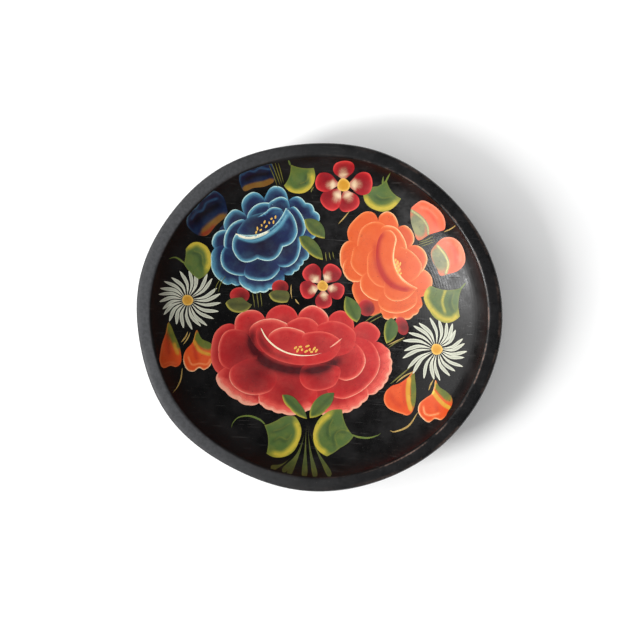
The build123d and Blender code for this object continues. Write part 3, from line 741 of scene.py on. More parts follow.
# %% Red peony
peony = Motif()
peony.lay(scalloped(((-61, -34, 0.1), (-50, -10, 0.1), (-33, -3, 0.1), (-13, -2, 0.1), (6, -2, 0.1),
                     (22, -9, 0.1),
                     (34, -18, 0.1), (41, -26, 0.0), (36, -42, 0.0), (14, -56, 0.0), (-8, -56, 0.0),
                     (-36, -50, 0.0), (-54, -45, 0.0))), edge=1, light=0, shade=0.35)
for corners, how in (
        (((-65.9, -20), (-63.6, -10), (-57.4, -4.8), (-51, -6.4), (-46, -20), (-50, -33), (-60, -35),
          (-65, -29)),
         dict(edge=3.6, toward=170, light=0.53, throat=(-52, -20), reach=15, deep=0.7)),
        (((-51.9, -7), (-50.8, -0.4), (-46, 3.3), (-39.4, 3.9), (-34.6, 0.8), (-33, -6), (-42, -13),
          (-50, -13)),
         dict(edge=2.6, toward=120, light=0.75, throat=(-42, -6), reach=7, deep=0.3)),
        (((-33.2, -4), (-31.6, 2.5), (-26, 6.6), (-19.5, 6.8), (-14.6, 3), (-13, -4), (-20, -12), (-30, -11)),
         dict(edge=1.6, toward=80, light=0.38, throat=(-20, -4), reach=7, deep=0.35)),
        (((5.6, -4), (8, 1.6), (13.5, 3.7), (18.6, 1.2), (21.6, -4.5), (20, -12), (10, -15)),
         dict(edge=2.0, toward=60, light=0.44, throat=(14, -4), reach=7, deep=0.2)),
        (((21, -10), (24.6, -4.6), (30, -3.3), (35.5, -6.4), (37.7, -11), (34.6, -16), (26, -20)),
         dict(edge=2.2, toward=40, light=0.56, throat=(28, -12), reach=8, deep=0.25)),
        (((-12.9, -3), (-11.6, 3), (-6, 6.7), (-1, 6.3), (4, 2.6), (5.9, -2.4), (2, -10), (-8, -12)),
         dict(edge=2.6, toward=70, light=1.00, throat=(-5, -3), reach=7, deep=0.3))):
    peony.lay(smooth(corners), **how)
for corners, how in (
        (((26, -19, 0), (35, -15.5, 0.1), (41, -18.8, 0.2), (43.8, -25, 0.15), (44.5, -30.4, 0.15),
          (42.6, -36.4, 0.15), (40, -41.4, 0.15), (36.5, -45.2, 0.15), (31.6, -48, 0.12), (24, -45, 0),
          (16, -36, 0)), dict(edge=7.0, toward=335, light=1.15, throat=(27, -31), reach=14, deep=0.55)),
        (((8, -38, 0), (29, -43, 0.05), (30.4, -48.4, 0.15), (26.5, -52.9, 0.15), (21, -56.5, 0.15),
          (15.5, -58.8, 0.1), (8, -59.6, 0.1), (0.5, -59.6, 0.05), (-4, -54, 0), (-4, -44, 0)),
         dict(edge=6.0, toward=295, light=1.15, throat=(8, -47), reach=12, deep=0.5)),
        (((-61.4, -34.4, 0.1), (-50, -29, 0), (-31, -42, 0), (-36, -52.4, 0.12), (-43, -54.1, 0.12),
          (-49.5, -50.7, 0.1), (-57, -45.3, 0.1), (-62, -39.5, 0.15)),
         dict(edge=6.5, toward=225, light=1.4, throat=(-44, -38), reach=15, deep=0.7)),
        (((-36.6, -47, 0.1), (-20, -38, 0), (-1, -46, 0), (-1, -56.4, 0), (-7.4, -57.8, 0.1), (-14, -60, 0.1),
          (-22.5, -59, 0.12), (-29, -57.2, 0.12), (-35, -54.2, 0.2), (-36.8, -50.6, 0.1)),
         dict(edge=5.5, toward=255, light=1.3, throat=(-18, -46), reach=14, deep=0.6))):
    peony.lay(scalloped(corners), **how)
for corners, how in (
        (((-61.6, -20), (-58.6, -10.6), (-52, -7.8), (-44, -11), (-38, -25), (-48, -33), (-59, -30)),
         dict(edge=1.7, toward=160, light=0.62, throat=(-47, -21), reach=15, deep=0.65)),
        (((24, -13), (33, -16.6), (37.4, -26), (36.2, -34.4), (31, -41.6), (24, -47.2), (14, -50.6), (5, -46),
          (6, -30), (14, -17)), dict(edge=2.2, toward=325, light=0.78, throat=(17, -34), reach=16,
                                     deep=0.45)),
        (((20, -15.6), (26, -19.8), (28.8, -27), (26.6, -33.7), (21.5, -38.2), (15, -39.4), (9, -35),
          (7, -24),
          (12, -16.6)), dict(edge=2.2, toward=320, light=0.94, throat=(12, -28), reach=13, deep=0.55)),
        (((-51, -29.4), (-54.8, -34.4), (-53.2, -41), (-46.5, -46.4), (-38, -48), (-29, -45), (-26, -35),
          (-40, -26)),
         dict(edge=2.0, toward=225, light=0.75, throat=(-38, -35), reach=15, deep=0.75)),
        (((-12, -37), (-9.4, -43.2), (-3, -45.7), (5, -44.7), (11, -40.7), (12, -31), (-8, -30)),
         dict(edge=1.6, toward=270, light=0.44, throat=(0, -37), reach=10, deep=0.5)),
        (((-42.9, -8), (-38, -3.1), (-30, -1.2), (-23, -2.8), (-18.6, -6.6), (-20, -18), (-34, -22),
          (-41, -16)),
         dict(edge=3.0, toward=75, light=0.88, throat=(-31, -11), reach=9, deep=0.15)),
        (((-20.4, -6), (-14, -1.1), (-7, -0.8), (-2, -3.4), (0, -8), (-4, -18), (-18, -18)),
         dict(edge=2.4, toward=70, light=0.56, throat=(-10, -9), reach=9, deep=0.15)),
        (((-1.4, -8), (4.6, -3.2), (12, -3.1), (19, -6.4), (22.8, -12), (19, -22), (4, -24)),
         dict(edge=2.2, toward=60, light=0.40, throat=(10, -14), reach=11, deep=0.3)),
        (((-31.4, -13.4), (-28, -8.6), (-21, -6.5), (-13, -8), (-8.4, -11.4), (-10, -23), (-26, -21)),
         dict(edge=2.4, toward=85, light=0.90, throat=(-20, -16), reach=9, deep=0.2)),
        (((-10.6, -12.6), (-4, -9.5), (4, -9.6), (10.5, -12.4), (13.4, -16.4), (9, -25), (-7, -25)),
         dict(edge=1.8, toward=80, light=0.47, throat=(0, -18), reach=10, deep=0.3))):
    peony.lay(smooth(corners), **how)
peony.glaze(((-41.2, -8), (-40.8, -18), (-34.5, -26.6), (-23, -32), (-9, -33.6), (4, -31.6), (11, -27.4)),
            3.0,
            deep=0.85)
peony.lay(smooth(((-36.9, -5.4), (-38.9, -12.6), (-34.6, -21.2), (-25.6, -27), (-12.6, -30), (0, -29.2),
                  (9.4, -25.4),
                  (13.6, -17.4), (6.4, -21.6), (-3.6, -24.2), (-14, -24.2), (-24, -21.2), (-31.4, -15.2))),
          edge=1.6, light=0.28, toward=270, throat=(-36, -18), reach=9, deep=0.35)
peony.glaze(((-36.5, -8), (-35.6, -15), (-29, -22.4), (-18, -26.6)), 1.6, deep=0.4, since=sheet(peony))
peony.lay(brush_mark(((-36.0, -7.0), (-32.8, -13), (-27.2, -18.6), (-20, -22.4), (-12, -24.1), (-4, -24.0),
                      (1.6, -22.6)), 1.0, 0.3), edge=0.9, light=0.1, second=0.45, ridge=1.6)
peony.lay(brush_mark(((6.5, -19.4), (10, -17), (14.4, -13.4)), 0.9, 0.5), edge=0.9, light=0.94)
dabs(peony, ((-14.6, -19.4), (-13.2, -21.0), (-11.6, -18.8), (-10.6, -20.6), (-8.0, -21.6), (-7.2, -18.4),
             (-5.8, -20.6), (-4.6, -22.0), (-3.0, -20.0), (-1.6, -21.2)), 0.78, lean=40)
lay_on_wood(peony.mesh("peony_petals"), "red_peony", RED)

# %% [markdown]
# ## The two red blossoms
# Each has five round petals about an ochre eye. The brush was dipped in white before each petal was
# pulled, so every petal starts cream at the eye and turns crimson.

# %% Red blossoms


def petal(centre, angle, start, reach, width):
    """A rounded petal from start to reach along an angle, widest beyond its middle."""
    shape = ((0.0, 0.16), (0.12, 0.42), (0.36, 0.88), (0.64, 1.0), (0.90, 0.74), (1.0, 0.0))
    places = [(start + (reach - start) * way, width / 2 * half) for way, half in shape]
    places += [(way, -half) for way, half in places[-2::-1]]
    turn = radians(angle)
    return smooth([(centre[0] + way * cos(turn) - half * sin(turn),
                    centre[1] + way * sin(turn) + half * cos(turn))
                   for way, half in places])


def blossom(centre, petals, eye, layer=0):
    """Five petals, each with its angle, reach, width and the side that its white base leans to."""
    flower = Motif(layer)
    for angle, reach, width, lean in petals:
        turn = radians(angle)
        along, across = np.array([cos(turn), sin(turn)]), np.array([-sin(turn), cos(turn)])
        flower.lay(petal(centre, angle, eye * 0.9, reach, width), edge=2.4, light=0.42, toward=angle + 25,
                   throat=tuple(centre + along * reach * 0.62 - across * lean * 2), reach=reach * 0.5,
                   deep=0.9)
        base = centre + along * (eye + 0.6) + across * lean * 0.5
        flower.glaze((tuple(base), tuple(base + along * (reach - eye) * 0.30 + across * lean * 0.6)),
                     width * 0.31, second=0.62, since=sheet(flower))
    flower.lay(smooth([(centre[0] + eye * r * cos(radians(a)), centre[1] + eye * r * sin(radians(a)))
                       for a, r in ((0, 1.0), (50, 0.9), (100, 1.02), (150, 0.94), (205, 1.0), (255, 0.9),
                                    (310, 1.0))]), edge=1.6, light=0.5, third=1.0, ridge=2.0)
    return flower


top = blossom(np.array([14.8, 79.2]),
              ((90, 13.2, 12.6, 0.3), (2, 17.2, 12.8, -0.2), (-72, 15.8, 12.8, 0.8), (-132, 17.0, 12.8, 1.6),
               (170, 17.2, 11.0, 1.0)), 3.9, layer=4)
lay_on_wood(top.mesh("top_blossom_petals"), "red_blossom_top", BLOSSOM)
middle = blossom(np.array([2.2, 19.0]),
                 ((130, 15.5, 11.6, 1.2), (54, 15.0, 11.6, 1.0), (-20, 14.0, 10.2, 0.8),
                  (-86, 14.0, 10.4, 0.6),
                  (194, 14.2, 11.2, 1.2)), 3.4, layer=26)
lay_on_wood(middle.mesh("middle_blossom_petals"), "red_blossom_middle", BLOSSOM)

# %% [markdown]
# ## Buds
# A bud is two or three pulls of a wide brush: the coloured body, the cap that holds it, and a light
# line along one edge. Cap and body share one sheet, and the number for the second pigment says where
# the cap begins.

# %% Orange buds


def bud(motif, corners, cap, cap_width, edge=1.6, light=0.6, toward=180, lines=()):
    """One bud: its outline, the line that its cap is painted along, and finer lines over both, each
    with its width and how much deep, light, second and third paint it carries."""
    motif.lay(smooth(corners), edge=edge, light=light, toward=toward, shade=0.12)
    motif.glaze(cap, cap_width, second=0.65, since=sheet(motif))
    for line, width, deep, pale, second, third in lines:
        motif.glaze(line, width, deep=deep, light=pale, second=second, third=third, since=sheet(motif))


buds = Motif()
bud(buds, ((-90.6, -3.6), (-87, -12), (-84, -20), (-83.2, -27.5), (-85.8, -30.4), (-89, -29.6),
           (-92.6, -30.8),
           (-95, -27), (-94.6, -18), (-92.4, -10)),
    ((-90.4, -3), (-87.6, -11), (-84.4, -20)), 3.0, light=0.4, toward=230,
    lines=((((-92.2, -9), (-91, -18), (-90, -24)), 1.6, 0.5, 0.0, 0.15, 0.0),
           (((-88, -15), (-86.4, -20), (-84.6, -24)), 1.6, 0.0, 0.0, 0.0, 0.35),
           (((-93, -28.6), (-89.6, -27.4), (-85.6, -28.4)), 0.6, 0.0, 0.3, 0.0, 0.0)))
bud(buds, ((-74.5, -8.4), (-71.4, -13.6), (-65.4, -17.1), (-64.5, -24.2), (-66.1, -29.8), (-69.6, -32.4),
           (-72.6, -31.2), (-75.9, -33.3), (-79.8, -31.8), (-82, -26.3), (-80.9, -20.7), (-76.9, -15.7)),
    ((-74.4, -9), (-71.6, -15), (-64.8, -19.2)), 3.4, edge=1.0, light=1.3, toward=260,
    lines=((((-76.6, -14), (-72.6, -20.8), (-65.2, -23.6)), 1.4, 0.0, 0.0, 0.0, 0.4),
           (((-79.4, -24), (-77, -29), (-72.4, -28.6), (-68, -29), (-66, -25.6)), 0.6, 0.0, 0.7, 0.0, 0.0),
           (((-76, -17), (-75, -23), (-73.6, -27)), 1.3, 0.6, 0.0, 0.0, 0.0)))
lay_on_wood(buds.mesh("left_orange_buds"), "orange_buds_left", BUD)

buds = Motif()
bud(buds, ((57.8, -33.2), (58.6, -39), (59.0, -45), (58.4, -52), (56.4, -57.8), (53.3, -59.9), (50.1, -59),
           (45.8, -57.7), (41.6, -55.3), (39.6, -51.1), (40.8, -46.1), (44.7, -42.4), (49.0, -40.9),
           (54.1, -37.3)),
    ((58.0, -34), (57.9, -41), (57.8, -48), (57.2, -55)), 2.3, light=0.55, toward=220,
    lines=((((55.2, -37.4), (54.2, -44), (54.4, -51), (55.6, -57)), 1.05, 0.0, 0.1, 0.0, 0.9),
           (((52.4, -40), (51.6, -46), (52.2, -54)), 1.2, 0.35, 0.0, 0.0, 0.08),
           (((43.4, -47), (46, -52), (51, -55.4)), 1.8, 0.4, 0.0, 0.0, 0.0)))
bud(buds, ((70.6, -38.6), (72.8, -42.6), (76.8, -45.3), (79.6, -48.6), (79.5, -52.7), (76.9, -56.9),
           (75.4, -59.6),
           (72.6, -61.9), (69.4, -61.4), (65.9, -63.6), (62.5, -61.7), (59.9, -57.7), (60.8, -52.8),
           (65, -49.1),
           (68.0, -46.9), (69.7, -42.6)),
    ((70.2, -40.4), (74.4, -45.4), (79.4, -50.6)), 2.4, edge=1.2, light=1.2, toward=215,
    lines=((((68.4, -44.8), (72.0, -49.8), (75.6, -53.4), (79.4, -55.2)), 1.05, 0.0, 0.1, 0.0, 0.9),
           (((63, -54), (64, -58.6), (67.8, -59.4), (72.4, -58)), 0.7, 0.0, 0.8, 0.0, 0.0),
           (((70, -53), (71, -55.6), (70.4, -58)), 1.4, 0.4, 0.0, 0.0, 0.0)))
lay_on_wood(buds.mesh("lower_right_orange_buds"), "orange_buds_lower_right", BUD)

buds = Motif()
bud(buds, ((55.3, 64.2), (57.5, 67.1), (61.7, 69.3), (66.9, 67.1), (71.7, 63.2), (75.0, 58.3), (75.5, 52.6),
           (71.8, 51.0), (66.4, 49.3), (62.0, 46.4), (59.4, 46.9), (57.6, 51.4), (55.6, 57.7)),
    ((56.0, 61.6), (59.4, 55.8), (62.6, 48.0)), 4.6, edge=1.8, light=0.5, toward=60,
    lines=((((55.4, 64), (59.8, 61.1), (63.4, 57.8), (65.6, 54.0), (66.2, 49.2)), 0.55, 0.0, 0.4, 0.6, 0.0),
           (((64, 64), (68.4, 60), (71, 54)), 1.3, 0.4, 0.0, 0.0, 0.0),
           (((60, 66), (66, 64), (72, 58)), 1.4, 0.0, 0.3, 0.0, 0.0)))
bud(buds, ((70.7, 43.6), (74.7, 47.1), (80.0, 47.2), (84.4, 43.5), (87.0, 37.2), (87.0, 31.6), (83.4, 27.4),
           (78.7, 25.8), (73.6, 24.7), (71.3, 29.1), (68.9, 33.4), (67.8, 39.1)),
    ((69.2, 41.6), (72.6, 35.6), (74.8, 27.0)), 4.6, edge=1.8, light=0.6, toward=40,
    lines=((((71.4, 43.0), (75.7, 37.5), (77.9, 31.8), (76.6, 25.6)), 0.6, 0.0, 0.5, 0.5, 0.0),
           (((79, 43), (82, 38), (82, 31)), 1.2, 0.4, 0.0, 0.0, 0.0),
           (((81.6, 44), (84.6, 39), (84.6, 32)), 1.2, 0.0, 0.35, 0.0, 0.0)))
lay_on_wood(buds.mesh("upper_right_orange_buds"), "orange_buds_upper_right", PINK_BUD)

# %% [markdown]
# The blue buds are darker: navy with wavy lighter strokes, held by an ochre cup with a little green
# in it.

# %% Blue buds
buds = Motif()
bud(buds, ((-47.3, 81), (-45, 86.6), (-41.4, 88), (-39, 90.2), (-34.6, 89.8), (-31.2, 91.6), (-27.4, 89.6),
           (-26.8, 82), (-32.5, 78.2), (-39.2, 77), (-44.8, 75)),
    ((-45.6, 75.6), (-39, 78.2), (-33, 79.6), (-27, 82)), 1.8, edge=1.4, light=0.8, toward=110,
    lines=((((-44.6, 80.6), (-38, 84), (-29, 85.6)), 1.6, 0.9, 0.0, 0.0, 0.0),
           (((-45.4, 83.4), (-41.8, 86), (-38.4, 86), (-35, 88), (-29, 87.8)), 0.6, 0.0, 0.6, 0.0, 0.0)))
bud(buds, ((-78.2, 53.5), (-78.4, 58), (-76, 62.4), (-72.6, 64.6), (-70.8, 68.6), (-66.1, 71.6), (-61.6, 74),
           (-57.2, 71.4), (-55.4, 66), (-55.6, 60.9), (-62.1, 54.9), (-67.5, 49.0), (-73.4, 49.2)),
    ((-70.6, 48.6), (-63.8, 54.6), (-55.4, 60.8)), 3.0, edge=1.6, light=0.85, toward=130,
    lines=((((-75.4, 55), (-69, 61.4), (-58, 68)), 2.3, 0.9, 0.0, 0.0, 0.0),
           (((-76.4, 57.4), (-73.2, 61.6), (-69.4, 63.4), (-66.6, 67.6), (-60, 70.4)), 0.7, 0.0, 0.6, 0.0,
            0.0),
           (((-71.6, 48.4), (-66.8, 51), (-62.4, 55.2)), 1.4, 0.9, 0.0, 0.0, 0.0)))
lay_on_wood(buds.mesh("painted_blue_buds"), "blue_buds", BLUE_BUD)

# %% [markdown]
# ## Leaves
# Broad leaves fill the corners between the flowers. Each is dull green with a yellow band along the
# two sides away from its stem, pulled in one stroke with a tail that runs off the tip.

# %% Broad leaves
leaves = Motif()
for corners, band, tails, vein, folds in (
        (((-17.0, 91.0, -0.06), (-3.2, 89.4, 0.14), (-4.6, 78.4, 0.14), (-13.5, 74.8, 0.14),
          (-21.2, 79.2, -0.10)),
         ((-4.4, 87), (-4.2, 80), (-9, 76.4), (-15, 75.4), (-20, 78.4)), (((-17.2, 90.6), (-18.6, 94)),),
         None,
         (((-8, 86), (-8.6, 81.6), (-13, 79.4)),)),
        (((26.6, 73.4, 0.16), (35.0, 77.8, -0.04), (40.2, 81.5, -0.12), (49.3, 70.8, 0.06),
          (44.6, 65.4, 0.14),
          (34.0, 64.6, 0.16)), ((47.6, 69.6), (42.6, 66), (35, 65.6), (29.4, 69.6), (28, 73)),
         (((39.6, 80), (42.2, 85)), ((38.0, 78.6), (38.2, 83.4))), None,
         (((33, 72.6), (37, 70.4), (43, 71)),)),
        (((-80.0, 40.5, 0.28), (-68.0, 42.4, 0.14), (-66.4, 29.0, 0.10), (-73.0, 22.6, 0.06),
          (-81.2, 31.5, -0.04)),
         ((-79.6, 40.8), (-74, 44.2), (-68.6, 41), (-66.6, 34), (-68.6, 27.4)),
         (((-80.6, 31.8), (-85.6, 35.2), (-89.6, 34.2)),), None,
         (((-77, 38.6), (-72.4, 36.6), (-71.6, 30)),)),
        (((64.0, 11.0, 0.14), (68.0, 18.9, -0.12), (86.0, 17.4, -0.08), (84.8, 0.0, 0.10), (77.5, -4.0, 0.14),
          (67.5, 3.5, 0.06)), ((66.6, 17.4), (65.2, 11), (68.6, 4.4), (74.6, -1), (80.6, -1.6), (84, 2)),
         (((85, 16.4), (88.2, 20.4)),), ((76.6, 16), (74.8, 9), (76.6, 2)),
         (((80.4, 14), (79, 8), (80.6, 3)),)),
        (((-33.2, -66.2, -0.04), (-23.5, -62.0, 0.10), (-14.6, -61.2, 0.18), (-12.4, -76.0, 0.16),
          (-23.0, -84.6, 0.10), (-31.6, -82.4, -0.10)),
         ((-14.6, -63.4), (-12.4, -70), (-14.6, -77), (-21.4, -82.8), (-29, -82.4)),
         (((-32.6, -65.8), (-36.3, -62.7), (-42.5, -60.5), (-48.7, -61.2), (-52, -64.3), (-53, -67.5)),),
         None,
         (((-28.6, -76), (-24.6, -74), (-20.6, -75.4), (-17.6, -72)),
          ((-29.6, -70.6), (-24, -69), (-19, -66)))),
        (((7.0, -57.6, 0.06), (14.2, -57.0, -0.10), (21.0, -72.5, 0.08), (13.0, -79.0, 0.04),
          (4.8, -83.8, 0.18),
          (-3.6, -71.5, 0.14)), ((7.6, -59), (0.6, -65), (-2.6, -72), (-0.4, -79), (5, -82.4)),
         (((20.0, -71.6), (23.6, -73), (29.6, -73.5), (34.9, -72.2), (37.6, -70.6)),), None,
         (((9.6, -79), (8.4, -73), (12, -70), (17, -70.6)), ((7.6, -63.4), (5.2, -68), (5.6, -74))))):
    leaves.lay(scalloped(corners), edge=1.4, light=0.2, shade=0.2)
    body = sheet(leaves)
    leaves.glaze(band, 1.9, light=0.95, since=body)
    for fold in folds:
        leaves.glaze(fold, 1.1, deep=0.45, since=body)
        leaves.glaze([(u + 1.3, v + 0.9) for u, v in fold], 0.5, light=0.25, since=body)
    if vein:
        leaves.glaze(vein, 0.8, light=0.8, since=body)
    for tail in tails:
        leaves.lay(brush_mark(tail, 1.1, 0.3), edge=0.5, light=0.15)
lay_on_wood(leaves.mesh("painted_broad_leaves"), "broad_leaves", GREEN)

# %% [markdown]
# Small olive leaves tuck in between the flowers, one pull of the brush each, with a darker line down the
# middle.

# %% Small leaves
leaves = Motif(layer=32)
for corners, vein, olive in (
        (((-9.0, 59.4, 0.12), (0.0, 58.2, 0.15), (3.4, 48.0, 0.05), (-4.5, 50.5, 0.12)),
         ((-8, 58.6), (2.4, 49.4)), 0.2),
        (((-12.3, 49.0, 0.15), (-4.5, 48.0, 0.12), (2.4, 35.0, 0.10), (-8.0, 41.0, 0.12)),
         ((-11, 48), (1.2, 37)), 0.2),
        (((-22.6, -48.2, 0.16), (-12.5, -53.0, 0.08), (-7.4, -62.5, 0.10), (-18.0, -56.2, 0.12)),
         ((-21.6, -49), (-8.4, -61.4)), 0.1),
        (((9.2, -47.0, 0.12), (4.5, -57.0, 0.12), (-5.6, -62.0, 0.10), (-3.5, -53.0, 0.14)),
         ((8.4, -48), (-4.4, -61)), 0.1),
        (((-57.4, 8.0, 0.10), (-53.9, 11.0, 0.04), (-47.1, 11.6, -0.06), (-41.4, 7.4, 0.06),
          (-44.3, 3.9, 0.10),
          (-51.2, 2.5, 0.14)), ((-55, 7.4), (-43.4, 7.4)), 0.45),
        (((-31.1, 13.7, 0.12), (-26.9, 16.3, 0.02), (-19.9, 15.9, 0.12), (-18.2, 12.6, 0.08),
          (-20.0, 8.8, 0.06),
          (-25.6, 8.8, 0.16)), ((-29, 13), (-20, 11)), 0.45),
        (((16.6, 12.6, 0.12), (25.8, 5.0, 0.14), (23.4, -3.6, 0.10), (15.6, 4.5, 0.06)),
         ((17, 11.4), (23, -2)), 0.1),
        (((44.6, -0.9, 0.18), (48.4, -9.5, 0.14), (41.6, -16.6, 0.08), (40.4, -7.0, 0.15)),
         ((44.4, -2), (42, -15)), 0.1)):
    leaves.lay(scalloped(corners), edge=1.6, light=0.75, toward=235, shade=0.3, second=olive)
    leaves.glaze(vein, 1.0, deep=0.3, since=sheet(leaves))
lay_on_wood(leaves.mesh("painted_small_leaves"), "small_leaves", GREEN)

# %% [markdown]
# Four berries fill the last gaps: a round dab of red, darker to one side, with a thin lit edge.

# %% Berries
berries = Motif(layer=26)
for centre, angle, length, width in (((-48.8, 13.0), 0, 11.8, 9.8), ((-24.1, 18.2), 0, 10.2, 8.8),
                                     ((29.3, 5.4), -60, 10.6, 9.6), ((51.0, -5.8), -70, 11.6, 7.4)):
    turn = radians(angle)
    around = np.linspace(0, 2 * pi, 40, endpoint=False)
    along, across = np.cos(around) * length / 2, np.sin(around) * width / 2
    line = np.stack([centre[0] + along * cos(turn) - across * sin(turn),
                     centre[1] + along * sin(turn) + across * cos(turn)], axis=-1)
    berries.lay(line, edge=1.3, light=0.3, toward=110, throat=(centre[0] + 1.5, centre[1] - 1), reach=5.4,
                deep=0.7,
                shade=0.2)
lay_on_wood(berries.mesh("painted_berries"), "red_berries", RED)

# %% [markdown]
# Below the peony a fan of stems runs down the wall, each stroke ending in a small club.

# %% Stems
stems = Motif()
for line, width in ((((-7.6, -62.5), (-8.2, -80), (-8.6, -95)), 2.6),
                    (((-7.2, -63), (-5.4, -80), (-2, -95)), 2.4),
                    (((-7, -66), (-1.6, -80), (6.8, -94.4)), 2.4),
                    (((-8, -68), (-11.6, -81), (-18.2, -93.8)), 2.4),
                    (((-8.2, -70), (-13.4, -83), (-21.6, -92.2)), 2.2),
                    (((-16, -84), (-22, -88.4), (-28.8, -90.4)), 2.2)):
    stems.lay(brush_mark(line, width * 1.3, 0.91, 0.36), edge=1.0, light=0.1, shade=0.45, second=0.3)
for line, width, ochre in (
        (((42.6, -19.4), (47, -16.2), (52, -14)), 0.5, False),
                           (((42.2, -17.8), (47, -15.4), (53, -12.6)), 0.4, True),
        (((43.6, -41.4), (50, -36), (57, -30)), 0.6, False),
                           (((47, -40.6), (52, -36.6), (59, -33)), 0.6, True),
        (((66.4, -45), (67.6, -41.6), (69.6, -38)), 0.6, True),
                           (((-83.6, -15.8), (-81, -12.4), (-79.6, -9)), 0.6, True),
        (((-82.2, -17), (-79.6, -13), (-78.2, -9.6)), 0.5, True),
                           (((11.8, 56.6), (15, 60), (19, 64.6)), 0.5, True),
        (((-4.8, 75.4), (-4.4, 77), (-3.0, 78.8)), 0.6, False),
                           (((60.4, 45), (65, 46.4), (69.4, 48.8)), 0.5, False),
        (((59.6, 43.4), (65, 45), (70.4, 46.8)), 0.4, False),
                           (((61.6, 42.4), (66.4, 44), (70.4, 45.4)), 0.35, False),
        (((75, 50.8), (78.6, 52.2), (82, 54.6)), 0.5, True),
                           (((42.8, -69), (46, -69.6), (54, -66), (60, -57.6)), 0.7, True),
        (((-17.3, 19.8), (-17.4, 15), (-16.8, 11)), 0.45, True),
                           (((-14.8, 11), (-13.8, 9.2), (-12.2, 7.6)), 0.6, True),
        (((-41.1, 15.1), (-40.2, 9.5), (-39.8, 5.3)), 0.3, False),
                           (((-38.6, 15.4), (-37.8, 9.5), (-37.3, 5.3)), 0.3, False),
        (((-36.4, 15.1), (-35.6, 9.5), (-35.3, 6.0)), 0.3, False),
        (((-28.4, 92), (-25.6, 85), (-23.4, 79)), 0.35, False),
                           (((-26.4, 92.4), (-24.4, 86), (-22.4, 80)), 0.35, False),
        (((-24.4, 92), (-23, 87), (-21.4, 80.6)), 0.35, False),
                           (((-30.2, 91), (-27, 84), (-25, 78)), 0.3, False),
        (((4.0, 39.9), (4.2, 37), (4.7, 34.1)), 0.4, False),
                           (((6.2, 39.9), (6.6, 37), (7.4, 34.8)), 0.4, False),
        (((8.4, 40.1), (8.8, 37.6), (9.4, 35.5)), 0.35, False),
                           (((28.0, -3.5), (33.0, -0.2), (39.0, 2.7)), 0.45, False),
        (((30.1, -4.4), (34.9, -1.7), (40.3, 1.2)), 0.4, False),
                           (((-82.4, -31.0), (-82.8, -37.3), (-84.4, -42.1), (-86.4, -45.1)), 0.5, True),
        (((-57.4, 24.6), (-60.2, 20), (-61.6, 15)), 0.22, False),
        (((-59.6, 24), (-62.4, 19.4), (-63.8, 15)), 0.2, False)):
    stems.lay(brush_mark(line, width * 1.4, 0.45), edge=0.4, light=0.2, shade=0.25, grain=0.6,
              **{"third" if ochre else "second": 0.5})
lay_on_wood(stems.mesh("painted_stems"), "stem_spray", GREEN)

# %% [markdown]
# ## Daisies
# A daisy is some twenty strokes of one brush, side by side about an ochre eye. That is a repeat, so
# Geometry Nodes lay it: one stroke is instanced round a circle, each a little longer, shorter or
# turned, as no two strokes come out alike. The tree ends in plain mesh, which is then bent onto
# the wood like the other flowers.

# %% One stroke of the daisy
one_stroke = Motif(layer=2)
one_stroke.lay(brush_mark(((0.0, 0.0), (7.6, -0.2), (15.2, 3.4)), 1.95, 0.66, 0.72), edge=0.9, light=0.6,
               shade=0.25,
               grain=0.6)
stroke_mesh = one_stroke.mesh("daisy_stroke")
stroke_piece = bpy.data.objects.new("daisy_stroke", stroke_mesh)

# %% Daisy tree


